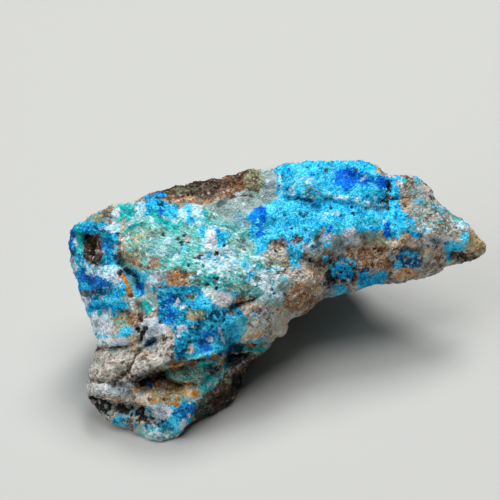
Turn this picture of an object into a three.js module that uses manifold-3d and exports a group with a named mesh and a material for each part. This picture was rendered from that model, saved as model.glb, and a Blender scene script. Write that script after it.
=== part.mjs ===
// A hand-sized mineral specimen: a broken piece of quartz and limonite matrix with crusts of blue
// cyanotrichite. It grew and broke as one piece, so it is one closed solid. Millimetres, +Z up, standing on
// Z = 0.
import * as THREE from "three";
import { mergeVertices } from "three/addons/utils/BufferGeometryUtils.js";
import { ImprovedNoise } from "three/addons/math/ImprovedNoise.js";
import Module from "manifold-3d";

const wasm = await Module();
wasm.setup();

// ---- Driving dimensions ---------------------------------------------------------------------------------
const DISPLAY_TILT = THREE.MathUtils.degToRad(40); // the display side is seen from this far above the horizon
const VIEW_DISTANCE = 330; // from the viewpoint to the display plane, through the foot of the specimen
const VIEW_CENTRE = { across: -5.4, rise: 34.7 }; // where the line of sight meets the display plane
const EDGE = 2.5; // longest edge of a finished facet
const SWAP_ANGLE = 3.2; // two facets swap their diagonal when the angles across it add up to more (radians)
const SLIDE = 0.5; // share of the way to the middle of its neighbours that a point slides
const WEAR = 0.22; // share of that way that a break is worn
const WEAR_BACK = 0.2288; // share that it is let out again, a little more, so that lumps keep their size
const ROUNDS = { firstSwap: 12, spread: 6, swapAfterSpread: 2, wear: 2 }; // how often each step is done
const FAR = 1e4; // a triangle of this size holds every landmark
const TABLE = { width: 200, depth: 40 }; // a block under Z = 0, which cuts the resting patches flat
const SOLE = -2; // landmarks of the resting patches lie this far below the table, which cuts them flat

// The display frame: X runs across, UP runs up the display plane and OUT points at the viewer.
const ACROSS = new THREE.Vector3(1, 0, 0);
const UP = new THREE.Vector3(0, Math.sin(DISPLAY_TILT), Math.cos(DISPLAY_TILT));
const OUT = new THREE.Vector3(0, -Math.cos(DISPLAY_TILT), Math.sin(DISPLAY_TILT));

// A point seen at (across, rise) on the display plane, standing `proud` of that plane.
function proudOf(across, rise, proud) {
  const spread = 1 - proud / VIEW_DISTANCE;
  return new THREE.Vector3()
    .addScaledVector(ACROSS, VIEW_CENTRE.across + (across - VIEW_CENTRE.across) * spread)
    .addScaledVector(UP, VIEW_CENTRE.rise + (rise - VIEW_CENTRE.rise) * spread)
    .addScaledVector(OUT, proud);
}

// The same, for a point seen at (across, rise) that lies at a height above the table.
function atHeight(across, rise, height) {
  const plane = proudOf(across, rise, 0);
  const nearer = proudOf(across, rise, 1);
  return proudOf(across, rise, (height - plane.z) / (nearer.z - plane.z));
}

// Where a point of the part is seen on the display plane.
function seen(point) {
  const spread = 1 - point.dot(OUT) / VIEW_DISTANCE;
  return new THREE.Vector2(
    VIEW_CENTRE.across + (point.dot(ACROSS) - VIEW_CENTRE.across) / spread,
    VIEW_CENTRE.rise + (point.dot(UP) - VIEW_CENTRE.rise) / spread,
  );
}

// ---- Outline of the display side, anticlockwise from the foot: [across, rise, height above the table] ---
const OUTLINE = [
  // sole of the foot and of the dark keel behind it
  [-21.8, 0, 0], [-20.3, 0.1, 0], [-18.9, 0.8, 0.2], [-17.3, 1.8, 0.4], [-16.2, 3.4, 0], [-14.5, 3.9, 0],
  [-13, 4.5, 0], [-11, 5.5, 0], [-9.2, 6.7, 0], [-7.7, 8, 0], [-6.9, 9.5, 0], [-6.4, 11.2, 0],
  [-6, 12.9, 0],
  // up the side of the keel to the underside of the arm
  [-4.8, 14.4, 1], [-3.3, 15.9, 3], [-1.8, 17.1, 5.5], [-1.2, 18.5, 7.5], [0.2, 18.7, 9], [1.3, 20, 10],
  [1.6, 21.6, 10.5], [3.1, 22.6, 11], [5, 23.5, 11.5], [6.2, 25, 12], [8, 26.3, 12.5], [10.9, 26.5, 12.5],
  [13.5, 26.9, 12.5], [15.5, 28, 13], [17.2, 28.4, 13], [19.3, 28.4, 13], [22, 28.4, 13], [25, 29, 13.5],
  [28, 29.8, 14], [30, 31.1, 15], [32, 31.9, 15.5], [34.2, 32.2, 15.5], [36.2, 33, 16], [37.3, 34.1, 17],
  // from the tip back along the top
  [37.4, 35.3, 18], [36.8, 36.4, 19], [35.6, 37.5, 20], [34.3, 39, 21.5], [33, 40.2, 22.5],
  [31.2, 41.4, 24], [29.6, 42.5, 25], [28.3, 43.3, 26], [28, 44.8, 27], [27, 46.3, 28.5],
  [25.7, 47.5, 29.5], [24.2, 48.4, 30.5], [22.7, 48.8, 31.2], [21.4, 48.1, 31.2], [20.2, 48.2, 31.6],
  [19, 48.9, 32.2], [18, 50, 33], [16.4, 50.8, 33.6], [14.2, 51, 34], [12, 50.8, 34.4], [10.2, 51.2, 35],
  [8.4, 50.7, 35], [6, 50.8, 35.2], [4, 50.5, 35.4], [2, 50.3, 35.6], [-0.5, 49.8, 35.6],
  [-2.5, 49.4, 35.8], [-4.5, 49, 35.8], [-6.5, 49, 36], [-8.6, 48.3, 35.6], [-11, 47.6, 35.2],
  [-13.5, 47, 35], [-15.5, 46.8, 35], [-17.5, 46, 34.4], [-19.5, 45.2, 34], [-21, 44.8, 33.6],
  [-22.8, 44.6, 33.4], [-24.4, 43.9, 33], [-26.5, 43.5, 32.4], [-28.5, 43, 32], [-30.1, 42.9, 31.8],
  [-31.6, 42.1, 31], [-33, 41.8, 30.6], [-34.4, 41.1, 30], [-35.2, 40.2, 29.2], [-36.6, 39.5, 28.4],
  // down the left end
  [-38, 38.5, 27.8], [-38.1, 36.8, 26.4], [-38.3, 35, 25], [-38.1, 33, 23.4], [-37.9, 31.3, 22],
  [-37, 30, 21], [-36.3, 28.3, 20], [-36.6, 26.8, 19], [-36.1, 25.6, 18.2], [-35.1, 24.7, 17.6],
  [-34.8, 23.5, 17], [-34.2, 22.4, 16.2], [-33.9, 21, 15.2], [-33.4, 19.6, 14.2], [-33.1, 18, 13],
  [-33.4, 16.5, 11.6], [-33.8, 15, 10.2], [-34.5, 13.7, 9], [-34.8, 12, 7.6], [-35, 10.2, 6.2],
  [-34.8, 8.4, 4.8], [-34.1, 7, 3.6], [-33, 6, 2.8], [-32, 4.6, 1.8], [-31.2, 3.3, 1], [-29.5, 2.8, 0.6],
  [-28, 2.5, 0.4], [-26.5, 1.8, 0.2], [-25, 1.2, 0.1], [-23.5, 0.6, 0],
];

// ---- Ridges, ledges, creases and pits of the display side: [across, rise, proud] ------------------------
const DISPLAY_LINES = {
  // the mint-coloured face and its rims
  mintTopRim: [
    [-29.2, 42, 0.4], [-26, 42.4, 0.8], [-23, 42.4, 1.2], [-20, 42, 1.7], [-17, 41.6, 2.2],
    [-14, 41.4, 2.4],
  ],
  mintRightRim: [
    [-13.4, 39.8, 2.9], [-11, 38.6, 3.2], [-8.6, 37.6, 3.2], [-6.8, 36.1, 3.3], [-5.3, 34.8, 3.3],
  ],
  mintHigh: [
    [-26, 39.5, 2.2], [-22.5, 39.6, 2.9], [-19, 39, 3.6], [-16, 37.4, 4.4], [-12, 36.2, 4.7],
    [-8.5, 34.6, 4.4],
  ],
  mintLow: [
    [-25.8, 36.2, 4.2], [-22.4, 35, 5.6], [-19, 34.2, 6.3], [-15.4, 33.2, 6.5], [-11.6, 32, 6.4],
    [-7.4, 31, 5.8],
  ],
  mintLowerRim: [
    [-28.7, 37.4, 2.4], [-28.5, 34.8, 3.6], [-26.6, 32.8, 5], [-24, 31.4, 6.3], [-21, 30.9, 7.2],
    [-18, 31, 7.7], [-15, 30.1, 7.9], [-12, 28.7, 7.7], [-9, 27.3, 6.9], [-6, 26.7, 5.8],
  ],
  // the ledge of translucent quartz behind it, and the limonite wall above
  quartzHollow: [
    [-12.4, 41.6, -0.4], [-12, 40, 0.2], [-9.4, 39, 0.6], [-7.6, 40.4, 0], [-7.8, 42.4, -1],
    [-5, 43.7, -1.6], [-2.6, 45.6, -2.6], [-1.8, 47.6, -3.6],
  ],
  limoniteLedge: [
    [-23, 43.7, -0.4], [-19, 43.6, -0.2], [-15, 43.4, -0.3], [-12, 43.5, -0.7], [-9, 44.5, -1],
    [-6, 45.2, -1.7],
  ],
  limoniteWallFoot: [
    [-20, 44.5, -1.7], [-16.5, 44.7, -2], [-13.6, 44.7, -2.3], [-10, 45.6, -2.6], [-7, 46.2, -2.9],
  ],
  // the big azure face of the arm
  azureLeftEdge: [
    [-0.5, 48.6, -3], [-0.1, 46.6, -2.1], [0.2, 44.4, -1.2], [-2, 43.1, -0.7], [-4.4, 42.4, -0.1],
    [-5.4, 40.8, 0.6], [-5.5, 38.4, 1.4], [-4.7, 36.4, 2],
  ],
  azureStepFoot: [[-1.7, 44.2, -2.2], [-3.6, 43.6, -1.7], [-6.4, 41, -0.7]],
  azureTop: [[3, 48.6, -3.5], [7, 48.8, -3.8], [11, 49.2, -4.6], [15, 49, -5.3], [17.6, 48, -6.2]],
  azureTrough: [[10, 47.6, -4.6], [12.5, 46.9, -4.9], [15.5, 46.4, -5.3], [18.6, 46, -6.2]],
  azureBulge: [[1.6, 46.4, -2.3], [4.4, 45.6, -2.2], [7.6, 45, -2.5], [11.5, 44.4, -3], [15.5, 43.9, -3.9]],
  azureFold: [[1.8, 43.7, -2.4], [4, 43.4, -2.7], [6, 43.2, -2.6]],
  azureLow: [
    [-2.2, 40.6, 0.3], [2, 41.2, -0.8], [6.4, 41.4, -1.4], [10.6, 41.2, -2], [15, 40.8, -3], [19.4, 41, -5],
  ],
  crackOfPits: [[19.6, 46, -7.2], [19.2, 44, -6.6], [18.8, 42.2, -6.1]],
  armCrest: [
    [-2.6, 37, 1.9], [1, 37.4, 1.2], [5, 37.8, 0.4], [9, 38.6, -0.6], [13, 38.6, -1.5], [17, 38, -2.7],
    [21, 37.4, -4], [25, 37.4, -5.4], [29, 37, -6.8], [33, 36.4, -8.6],
  ],
  // the end of the arm
  armKnob: [[22.4, 46.9, -6.6], [24.4, 45.6, -6.9], [25.6, 43.8, -7.2]],
  armEnd: [[24.4, 41, -6.2], [27.4, 41.4, -7.4], [29.6, 40, -7.6], [31.8, 39.4, -8.6], [34, 37.6, -9.6]],
  armNotch: [[27.2, 43.3, -8.8], [25.6, 41.8, -7.6]],
  // under the crest, and the turn to the underside
  armBrow: [
    [8.5, 34.6, -1.6], [12, 34.2, -2.8], [16, 34, -4.4], [20, 34, -5.8], [24, 34, -7], [28, 34, -8.6],
    [32, 34.4, -10.4], [35.2, 34.6, -12],
  ],
  armTurn: [
    [8.4, 28.8, -4.4], [11.5, 29, -6], [14.6, 30, -6.6], [18, 30.4, -7.6], [21.5, 30.6, -8.6],
    [25, 31, -9.8], [28.4, 31.8, -11],
  ],
  // the middle of the front
  waist: [[-2.6, 33.6, 3.6], [0.4, 33.2, 2.8], [3.4, 32.4, 1.2], [6, 31, -0.6]],
  waistLow: [[-3, 29.6, 4.8], [-0.4, 29, 3.8], [2.4, 28.4, 2], [5, 28, 0]],
  waistTurn: [[-4, 26.6, 4.6], [-1, 26.2, 3.4], [2, 25.6, 1], [4.6, 25.4, -1.8]],
  rustSeam: [[-8, 24.9, 5.2], [-5.6, 25.3, 4]],
  greyHeel: [[-7, 23, 4.6], [-4, 23, 3], [-1.2, 22.8, 1], [1, 23, -1.4]],
  greyHeelLow: [[-7.4, 20, 3.4], [-5, 19.8, 1.8], [-2.4, 20, -0.6], [-0.2, 20.4, -3.4]],
  heelBand: [[-9.2, 17.6, 1.2], [-7, 17.5, -0.2], [-4.6, 17.5, -1.6], [-2.8, 17.9, -3.4]],
  pocket: [[-9.4, 14.6, -2.4], [-8.6, 15.8, -3.6], [-6.6, 15.5, -4.2]],
  // the steep blue face under the mint one
  shelf: [[-22.6, 28.6, 6.6], [-21.6, 26, 6.2], [-18.6, 28.4, 7.5], [-16, 27.6, 7.1]],
  whiteChip: [[-13.4, 27.4, 7], [-11.2, 26.4, 8], [-9.4, 25.2, 7.4]],
  blueHigh: [
    [-22.4, 24.2, 6.5], [-19.6, 24.2, 7.4], [-16.6, 24.4, 7.7], [-13.4, 23.4, 7.9], [-10.6, 22.8, 6.7],
  ],
  blueMiddle: [[-21, 20.8, 6.7], [-17.6, 20.6, 7.6], [-14.4, 20.2, 7.7], [-11.6, 20, 6.8]],
  blueLow: [[-20.4, 17.4, 6.5], [-17.6, 17.2, 7.1], [-14.6, 17, 7.1], [-12.2, 17.2, 6.4]],
  blueRightEdge: [[-9.6, 20.8, 5.2], [-10.1, 18.8, 5], [-10.9, 16.9, 5.2]],
  blueLedge: [[-20.6, 14.3, 6], [-18, 14.9, 6.4], [-15, 15.3, 6.5], [-12, 15.6, 5.8]],
  underBlueLedge: [[-20.4, 13.4, 3.4], [-18, 14, 3.6], [-15, 14.4, 3.7], [-12.1, 14.6, 3.2]],
  // the hollow with its lump and orange pockets, and the lip that runs up to the heel
  lump: [[-19.2, 12.5, 4.2], [-16.6, 12.6, 4.8], [-14, 12.9, 4.2]],
  lumpEdge: [[-19.6, 11.5, 3.8], [-17, 11, 4.2], [-14.6, 11.5, 3.6]],
  slit: [[-23.6, 10.8, 1.2], [-20.4, 10.4, 0.6], [-17.6, 10, 0.4], [-15, 10.6, 1.1]],
  orangeFloor: [[-22, 9, 2.4], [-19.4, 8.6, 2], [-16.4, 9, 1.6], [-13.6, 10.4, 1.4], [-11.8, 12.6, 1.4]],
  lip: [
    [-16.4, 4.6, 1.5], [-15.4, 6.6, 1.8], [-14.3, 8.2, 1.7], [-12.7, 9.4, 1.5], [-11.1, 11.2, 1.4],
    [-10.4, 13, 1.3], [-10.8, 14.6, 1.6],
  ],
  // the dark keel stands back behind the lip, with a pocket between its top and the heel
  keelTop: [
    [-15.1, 4.7, -1.8], [-13.6, 6.8, -2.7], [-11.8, 8.3, -2.9], [-9.9, 10, -2.5], [-8.7, 12, -1.9],
    [-7, 13.6, -2], [-5, 15, -2.9], [-3.2, 16.3, -4.4],
  ],
  keelSide: [[-11.4, 6.8, -4.7], [-9.3, 8.6, -5.2], [-8, 10.4, -5.4], [-6.9, 12.3, -5.8]],
  // the tan block, its cracks and the foot
  tanEdge: [[-26.6, 11.6, 4], [-24.6, 12.5, 4.8], [-22.4, 13.4, 5.6]],
  underTanEdge: [[-25.6, 10.9, 2.4], [-23.8, 11.6, 2.3], [-22, 12.5, 2.6]],
  tanBlock: [[-27, 13.6, 3.6], [-24.8, 14.8, 4.9], [-22.6, 16, 5.6]],
  tanCrack: [
    [-33, 11.1, 1], [-30.2, 11, 1.4], [-28.2, 12.6, 2.2], [-26.8, 14.8, 3], [-25.4, 16.8, 3.6],
    [-23.4, 17.8, 4],
  ],
  tanSlab: [[-33, 12.8, 1.3], [-30.6, 13.4, 2.8], [-28.6, 15, 3.6], [-31.4, 15.4, 2.2]],
  tanLedge: [[-32, 17, 1], [-30, 17, 1.7], [-28, 17.5, 2.6]],
  paleShelf: [[-31.6, 18.8, 2], [-29, 19, 3.4], [-26.8, 19, 4.4], [-24.4, 19.6, 5]],
  footLedge: [
    [-33.2, 9.6, 1.2], [-30.4, 9.4, 2.7], [-27.4, 9.4, 3.1], [-24.6, 8.6, 3.1], [-22, 7.2, 2.8],
    [-20, 6, 2.6],
  ],
  blackBand: [[-32, 6.8, 0.6], [-29, 6.4, 1.2], [-26, 5.6, 1.5], [-23, 4.6, 1.3], [-20.4, 3.6, 1]],
  footToe: [[-29, 4.2, 0.9], [-26, 3.2, 1.4], [-23.4, 2.2, 1.4], [-21, 1.6, 1]],
  blueHeel: [[-18.6, 5.6, 2.4], [-17, 5, 1.9], [-18, 3, 1.3]],
  // the pale shoulder and the left lobe
  paleShoulder: [[-31.6, 21.4, 2], [-29, 22, 3.2], [-26.8, 22.4, 3.9], [-24.6, 22, 5.5]],
  shoulderPit: [[-25.4, 24, 4.4], [-23.4, 18.8, 4.6]],
  lobeFoot: [[-33.2, 24.6, 1.2], [-30.4, 24.6, 3.2], [-27.6, 24.8, 4.4]],
  lobeMiddle: [[-34.4, 27.4, 0.8], [-31.6, 27.8, 3], [-29.4, 27.4, 4.4]],
  lobeHigh: [[-35.8, 31.8, 0], [-33.2, 31, 1.9], [-30.8, 31.2, 3.3], [-31, 33.4, 2.5]],
  rustEdge: [[-28.9, 30.6, 4], [-28, 28.7, 4.9], [-27.2, 26.8, 5.1]],
  crease: [[-30.6, 36.2, 1.4], [-29.8, 34.2, 2], [-28, 32, 2.6], [-26.4, 29.6, 3.3], [-25.2, 27.4, 4.4]],
  darkPit: [[-34.6, 37, -2], [-33.6, 35.4, -2.2], [-33, 34.2, -0.9]],
  pitRim: [
    [-36.6, 37.4, -0.5], [-34.2, 38.8, 0.2], [-32.2, 37.6, 0.9], [-31.8, 35.6, 1.4], [-33.6, 32.9, 0.9],
    [-36.2, 34.4, -0.5],
  ],
  topLeft: [[-33.4, 40.2, 0], [-31, 40, 1], [-28.8, 40, 1.5]],
};

// ---- The sides that are turned away: [x, y, z] ----------------------------------------------------------
const BACK_POINTS = {
  upperWall: [
    [-33, 29, 23.5], [-28, 31, 24.5], [-22.5, 33, 26], [-16, 34.5, 26.5], [-9, 37, 26], [-2, 38.5, 27],
    [5, 40.5, 27], [12, 41.5, 26], [18, 41, 24.5],
  ],
  middleWall: [
    [-34, 29, 14.5], [-29.5, 35, 15], [-23, 39, 17], [-16.5, 40.5, 18], [-10, 43.5, 17], [-3, 44, 16],
    [4, 46.5, 17], [11, 47, 16], [17, 45, 16.5],
  ],
  lowerWall: [
    [-31.5, 28, 7], [-28, 35, 6.5], [-21.5, 40, 7], [-14, 43, 8], [-7, 46.5, 6.5], [0, 47.5, 6.5],
    [7, 49, 7.5], [12.5, 48.5, 8.5], [17.5, 45, 10],
  ],
  heel: [
    [-26, 34, 1], [-19, 39, 1.2], [-11, 42, 1], [-4, 45.5, 1.4], [3.5, 47.5, 1.2], [9, 47.5, 2.4],
    [13.5, 46, 5],
  ],
  arm: [[23.5, 42, 22.5], [23.5, 42.5, 17], [28.5, 39, 20.5], [29, 38.5, 16.5], [33, 36, 18]],
  armUnderside: [[20, 38, 13.5], [25, 36, 14.5], [30, 34.5, 15.3]],
  leftUnderside: [[-30.5, 22, 4.5], [-30, 14.5, 2.6]],
};

// Resting patches: [x, y]. Their landmarks lie a little below the table, which cuts them flat.
const RESTING_PATCHES = {
  foot: [[-24, 5.5], [-20.5, 6.5], [-26, 10], [-21.5, 11]],
  keel: [[-14, 11.5], [-10.2, 15.5], [-15.5, 17]],
  middle: [[-17, 22], [-11.5, 22], [-7.5, 27], [-13, 28.5], [-19.5, 28]],
  back: [[-3.5, 34], [-8, 35.5], [-1.5, 40], [3.5, 42.5], [-15, 34.5]],
  left: [[-23, 33.5], [-25.5, 28], [-26, 21], [-23, 16]],
};

// ---- Sheets of facets between the landmarks -------------------------------------------------------------
const LANDMARK_STEP = 2.6; // landmarks along a ridge or crease are at most this far apart

// The points of a line, with more put in where they are far apart.
function alongLine(points) {
  const found = [points[0]];
  for (let i = 1; i < points.length; i++) {
    const steps = Math.max(1, Math.round(points[i - 1].distanceTo(points[i]) / LANDMARK_STEP));
    for (let s = 1; s <= steps; s++) found.push(points[i - 1].clone().lerp(points[i], s / steps));
  }
  return found;
}

// Delaunay triangles of flat points, by putting in one point at a time.
function delaunay(flat) {
  const hull = [[-FAR, -FAR], [FAR, -FAR], [0, FAR]].map(([x, y]) => new THREE.Vector2(x, y));
  const all = [...flat, ...hull];
  const circleOf = (a, b, c) => {
    const [p, q, r] = [all[a], all[b], all[c]];
    const d = 2 * (p.x * (q.y - r.y) + q.x * (r.y - p.y) + r.x * (p.y - q.y));
    const [pp, qq, rr] = [p.lengthSq(), q.lengthSq(), r.lengthSq()];
    const x = (pp * (q.y - r.y) + qq * (r.y - p.y) + rr * (p.y - q.y)) / d;
    const y = (pp * (r.x - q.x) + qq * (p.x - r.x) + rr * (q.x - p.x)) / d;
    return { corners: [a, b, c], x, y, radiusSq: (p.x - x) ** 2 + (p.y - y) ** 2 };
  };
  let triangles = [circleOf(flat.length, flat.length + 1, flat.length + 2)];
  flat.forEach((point, index) => {
    const holds = (t) => (point.x - t.x) ** 2 + (point.y - t.y) ** 2 < t.radiusSq;
    const rim = new Map();
    for (const { corners } of triangles.filter(holds))
      corners.forEach((a, i) => {
        const b = corners[(i + 1) % 3];
        if (!rim.delete(b + ":" + a)) rim.set(a + ":" + b, [a, b]);
      });
    triangles = triangles.filter((t) => !holds(t));
    for (const [a, b] of rim.values()) triangles.push(circleOf(a, b, index));
  });
  return triangles.map((t) => t.corners).filter((corners) => corners.every((c) => c < flat.length));
}

function isInside(x, y, polygon) {
  let inside = false;
  polygon.forEach((p, i) => {
    const q = polygon[(i + 1) % polygon.length];
    if (p.y > y !== q.y > y && x < p.x + ((q.x - p.x) * (y - p.y)) / (q.y - p.y)) inside = !inside;
  });
  return inside;
}

// Triangles between the outline and a set of points inside it. The first indices are those of the outline.
function sheet(rim, inner) {
  const flat = [...rim, ...inner].map(seen);
  const polygon = flat.slice(0, rim.length);
  const kept = delaunay(flat).filter((corners) => {
    const [x, y] = ["x", "y"].map((k) => corners.reduce((sum, c) => sum + flat[c][k], 0) / 3);
    return isInside(x, y, polygon);
  });
  const edges = new Set(kept.flatMap((t) => t.map((a, i) => a + ":" + t[(i + 1) % 3])));
  rim.forEach((_, i) => {
    if (!edges.has(i + ":" + ((i + 1) % rim.length)))
      throw new Error("a landmark crowds the outline at " + polygon[i].toArray().map((v) => v.toFixed(1)));
  });
  return kept;
}

// Closed polyhedron from the display sheet and the sheet turned away, which share the outline.
function polyhedron() {
  const rim = OUTLINE.map((p) => atHeight(...p));
  const front = Object.values(DISPLAY_LINES).flatMap((line) => alongLine(line.map((p) => proudOf(...p))));
  const back = [
    ...Object.values(BACK_POINTS).flat().map((p) => new THREE.Vector3(...p)),
    ...Object.values(RESTING_PATCHES).flat().map(([x, y]) => new THREE.Vector3(x, y, SOLE)),
  ];
  const afterFront = (i) => (i < rim.length ? i : i + front.length);
  return {
    points: [...rim, ...front, ...back],
    triangles: [
      ...sheet(rim, front),
      ...sheet(rim, back).map(([a, b, c]) => [afterFront(a), afterFront(c), afterFront(b)]),
    ],
  };
}

// ---- From the polyhedron to a broken surface ------------------------------------------------------------
const edgeKey = (a, b) => (a < b ? a + ":" + b : b + ":" + a);

// Halves every edge that is too long, until none is left. Both triangles of an edge share its middle.
function refine({ points, triangles }, longest) {
  for (;;) {
    const middles = new Map();
    const middleOf = (a, b) => {
      const key = edgeKey(a, b);
      if (!middles.has(key) && points[a].distanceTo(points[b]) > longest) {
        middles.set(key, points.length);
        points.push(points[a].clone().lerp(points[b], 0.5));
      }
      return middles.get(key);
    };
    const next = [];
    for (const [a, b, c] of triangles) {
      const [ab, bc, ca] = [middleOf(a, b), middleOf(b, c), middleOf(c, a)];
      const cut = [ab, bc, ca].filter((m) => m !== undefined).length;
      if (cut === 0) next.push([a, b, c]);
      else if (cut === 3) next.push([a, ab, ca], [ab, b, bc], [ca, bc, c], [ab, bc, ca]);
      else {
        // Turned so that the side from p to q is cut and, where two are cut, that from q to r as well.
        const turns = [[a, b, c, ab, bc], [b, c, a, bc, ca], [c, a, b, ca, ab]];
        const [p, q, r, pq, qr] = turns.find((t) => t[3] !== undefined && (cut === 1 || t[4] !== undefined));
        if (cut === 1) next.push([p, pq, r], [pq, q, r]);
        else next.push([pq, q, qr], [p, pq, qr], [p, qr, r]);
      }
    }
    triangles = next;
    if (!middles.size) return { points, triangles };
  }
}

// Swaps the edge between two facets wherever the other diagonal gives fuller ones, until few are left.
function swapDiagonals({ points, triangles }, passes) {
  const angleAt = (p, a, b) => points[a].clone().sub(points[p]).angleTo(points[b].clone().sub(points[p]));
  for (let pass = 0; pass < passes; pass++) {
    const owner = new Map(triangles.flatMap((t, i) => t.map((a, k) => [a + ":" + t[(k + 1) % 3], i])));
    const changed = new Set();
    for (const [key, i] of owner) {
      const [a, b] = key.split(":").map(Number);
      const j = owner.get(b + ":" + a);
      if (a > b || changed.has(i) || changed.has(j)) continue;
      const [c, d] = [i, j].map((t) => triangles[t].find((corner) => corner !== a && corner !== b));
      if (owner.has(c + ":" + d) || owner.has(d + ":" + c)) continue;
      if (angleAt(c, a, b) + angleAt(d, a, b) < SWAP_ANGLE) continue;
      if (facetNormal(points, [a, d, c]).dot(facetNormal(points, [d, b, c])) < 0) continue;
      triangles[i] = [a, d, c];
      triangles[j] = [d, b, c];
      owner.set(c + ":" + d, i).set(d + ":" + c, j);
      changed.add(i).add(j);
    }
    if (!changed.size) return;
  }
}

function neighboursOf({ points, triangles }) {
  const found = points.map(() => new Set());
  for (const t of triangles)
    t.forEach((a, i) => {
      found[a].add(t[(i + 1) % 3]);
      found[t[(i + 1) % 3]].add(a);
    });
  return found;
}

// The step of each point from where it is to the middle of its neighbours.
function stepsToMiddle(mesh) {
  return neighboursOf(mesh).map((near, i) => {
    const middle = new THREE.Vector3();
    near.forEach((j) => middle.addScaledVector(mesh.points[j], 1 / near.size));
    return middle.sub(mesh.points[i]);
  });
}

function moveAlong(mesh, steps, share) {
  mesh.points = mesh.points.map((p, i) => p.clone().addScaledVector(steps[i], share));
}

// Spreads the points evenly by sliding them along the surface, which keeps its shape.
function spreadPoints(mesh, times) {
  for (let n = 0; n < times; n++) {
    const normals = normalsOf(mesh);
    const steps = stepsToMiddle(mesh).map((step, i) => step.projectOnPlane(normals[i]));
    moveAlong(mesh, steps, SLIDE);
    swapDiagonals(mesh, ROUNDS.swapAfterSpread);
  }
}

// Wears the sharpest breaks. Each step inwards is followed by one outwards, so the lumps keep their size.
function wear(mesh, times) {
  for (let n = 0; n < times; n++)
    for (const share of [WEAR, -WEAR_BACK]) moveAlong(mesh, stepsToMiddle(mesh), share);
}

function facetNormal(points, [a, b, c]) {
  return points[b].clone().sub(points[a]).cross(points[c].clone().sub(points[a]));
}

function normalsOf({ points, triangles }) {
  const normals = points.map(() => new THREE.Vector3());
  for (const t of triangles) for (const corner of t) normals[corner].add(facetNormal(points, t));
  return normals.map((n) => n.normalize());
}

const noise = new ImprovedNoise();

// Octaves of lumpy relief, and sharper steps along beds that dip to the back. A shift takes each to a part
// of the noise of its own.
const LUMPS = [
  { size: 9, height: 0.8, shift: [0, 0, 11] },
  { size: 4.6, height: 0.75, shift: [7, -3, 11] },
  { size: 2.7, height: 0.5, shift: [14, -6, 11] },
];
const LEDGE = { size: 6, height: 0.5, sharpness: 4, dip: 0.6, shift: [31, 0, -17] };
const RIM_RELIEF = 0.15; // share of the relief that is left on the outline
const RIM_BAND = 5; // width of the band along the outline over which it grows to the whole

function noiseAt(p, size, [dx, dy, dz]) {
  return noise.noise(p.x / size + dx, p.y / size + dy, p.z / size + dz);
}

function relief(p) {
  const lumps = LUMPS.map(({ size, height, shift }) => height * noiseAt(p, size, shift));
  const bed = noiseAt(new THREE.Vector3(p.x, p.y - LEDGE.dip * p.z, p.z), LEDGE.size, LEDGE.shift);
  return lumps.reduce((sum, height) => sum + height) + LEDGE.height * Math.tanh(LEDGE.sharpness * bed);
}

// The relief dies down towards the outline, where the landmarks already carry it.
function roughen(mesh) {
  const rim = OUTLINE.map((p) => atHeight(...p));
  const normals = normalsOf(mesh);
  mesh.points = mesh.points.map((p, i) => {
    const strength = Math.min(1, RIM_RELIEF + Math.min(...rim.map((r) => r.distanceTo(p))) / RIM_BAND);
    return p.clone().addScaledVector(normals[i], strength * relief(p));
  });
}

// ---- Solid ----------------------------------------------------------------------------------------------
function solidOf(geometry) {
  const bare = geometry.clone();
  for (const name of ["normal", "uv"]) bare.deleteAttribute(name);
  const merged = mergeVertices(bare);
  return new wasm.Manifold(
    new wasm.Mesh({
      numProp: 3,
      vertProperties: merged.attributes.position.array,
      triVerts: new Uint32Array(merged.index.array),
    }),
  );
}

function geometryOf(solid) {
  const { vertProperties, triVerts } = solid.getMesh();
  const geometry = new THREE.BufferGeometry();
  geometry.setAttribute("position", new THREE.BufferAttribute(vertProperties, 3));
  geometry.setIndex(new THREE.BufferAttribute(triVerts, 1));
  geometry.computeVertexNormals();
  return geometry;
}

// Everything below the table is cut away, which leaves the flat patches that the specimen rests on.
function specimenGeometry() {
  const mesh = refine(polyhedron(), EDGE);
  swapDiagonals(mesh, ROUNDS.firstSwap);
  spreadPoints(mesh, ROUNDS.spread);
  wear(mesh, ROUNDS.wear);
  roughen(mesh);
  const rough = new THREE.BufferGeometry();
  rough.setFromPoints(mesh.points);
  rough.setIndex(mesh.triangles.flat());
  const table = new THREE.BoxGeometry(TABLE.width, TABLE.width, TABLE.depth);
  table.translate(0, 0, -TABLE.depth / 2);
  return geometryOf(solidOf(rough).subtract(solidOf(table)));
}

// The origin is on the table, under the middle of the specimen's bounding box.
function centred(geometry) {
  geometry.computeBoundingBox();
  const middle = geometry.boundingBox.getCenter(new THREE.Vector3());
  return geometry.translate(-middle.x, -middle.y, 0);
}

const specimen = new THREE.Mesh(
  centred(specimenGeometry()),
  new THREE.MeshStandardMaterial({ color: 0x3fa9cf, roughness: 0.78, metalness: 0, flatShading: true }),
);
specimen.name = "specimen";

const group = new THREE.Group();
group.name = "cyanotrichite_specimen";
group.add(specimen);

export default group;
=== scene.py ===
"""Looks of the cyanotrichite specimen: its rock, mineral crusts and crystals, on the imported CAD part.

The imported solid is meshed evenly, its display side is given overhangs, cracks and lumps, and the minerals
are laid on it stroke by stroke, each covering what is under it. The share of each mineral at a point decides
the relief there, the small crystals that grow on it, and the colour. Places on the display side are given as
(across, rise) in millimetres on the display plane, which stands through the foot of the specimen and faces
the viewer. Noise calls take the points, the size of the lumps in millimetres, the octaves where there are
several, and an offset that tells one pattern from another.
"""

import math
from collections import namedtuple
from itertools import product

import bpy
import numpy as np
from mathutils import Matrix, Vector


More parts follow.
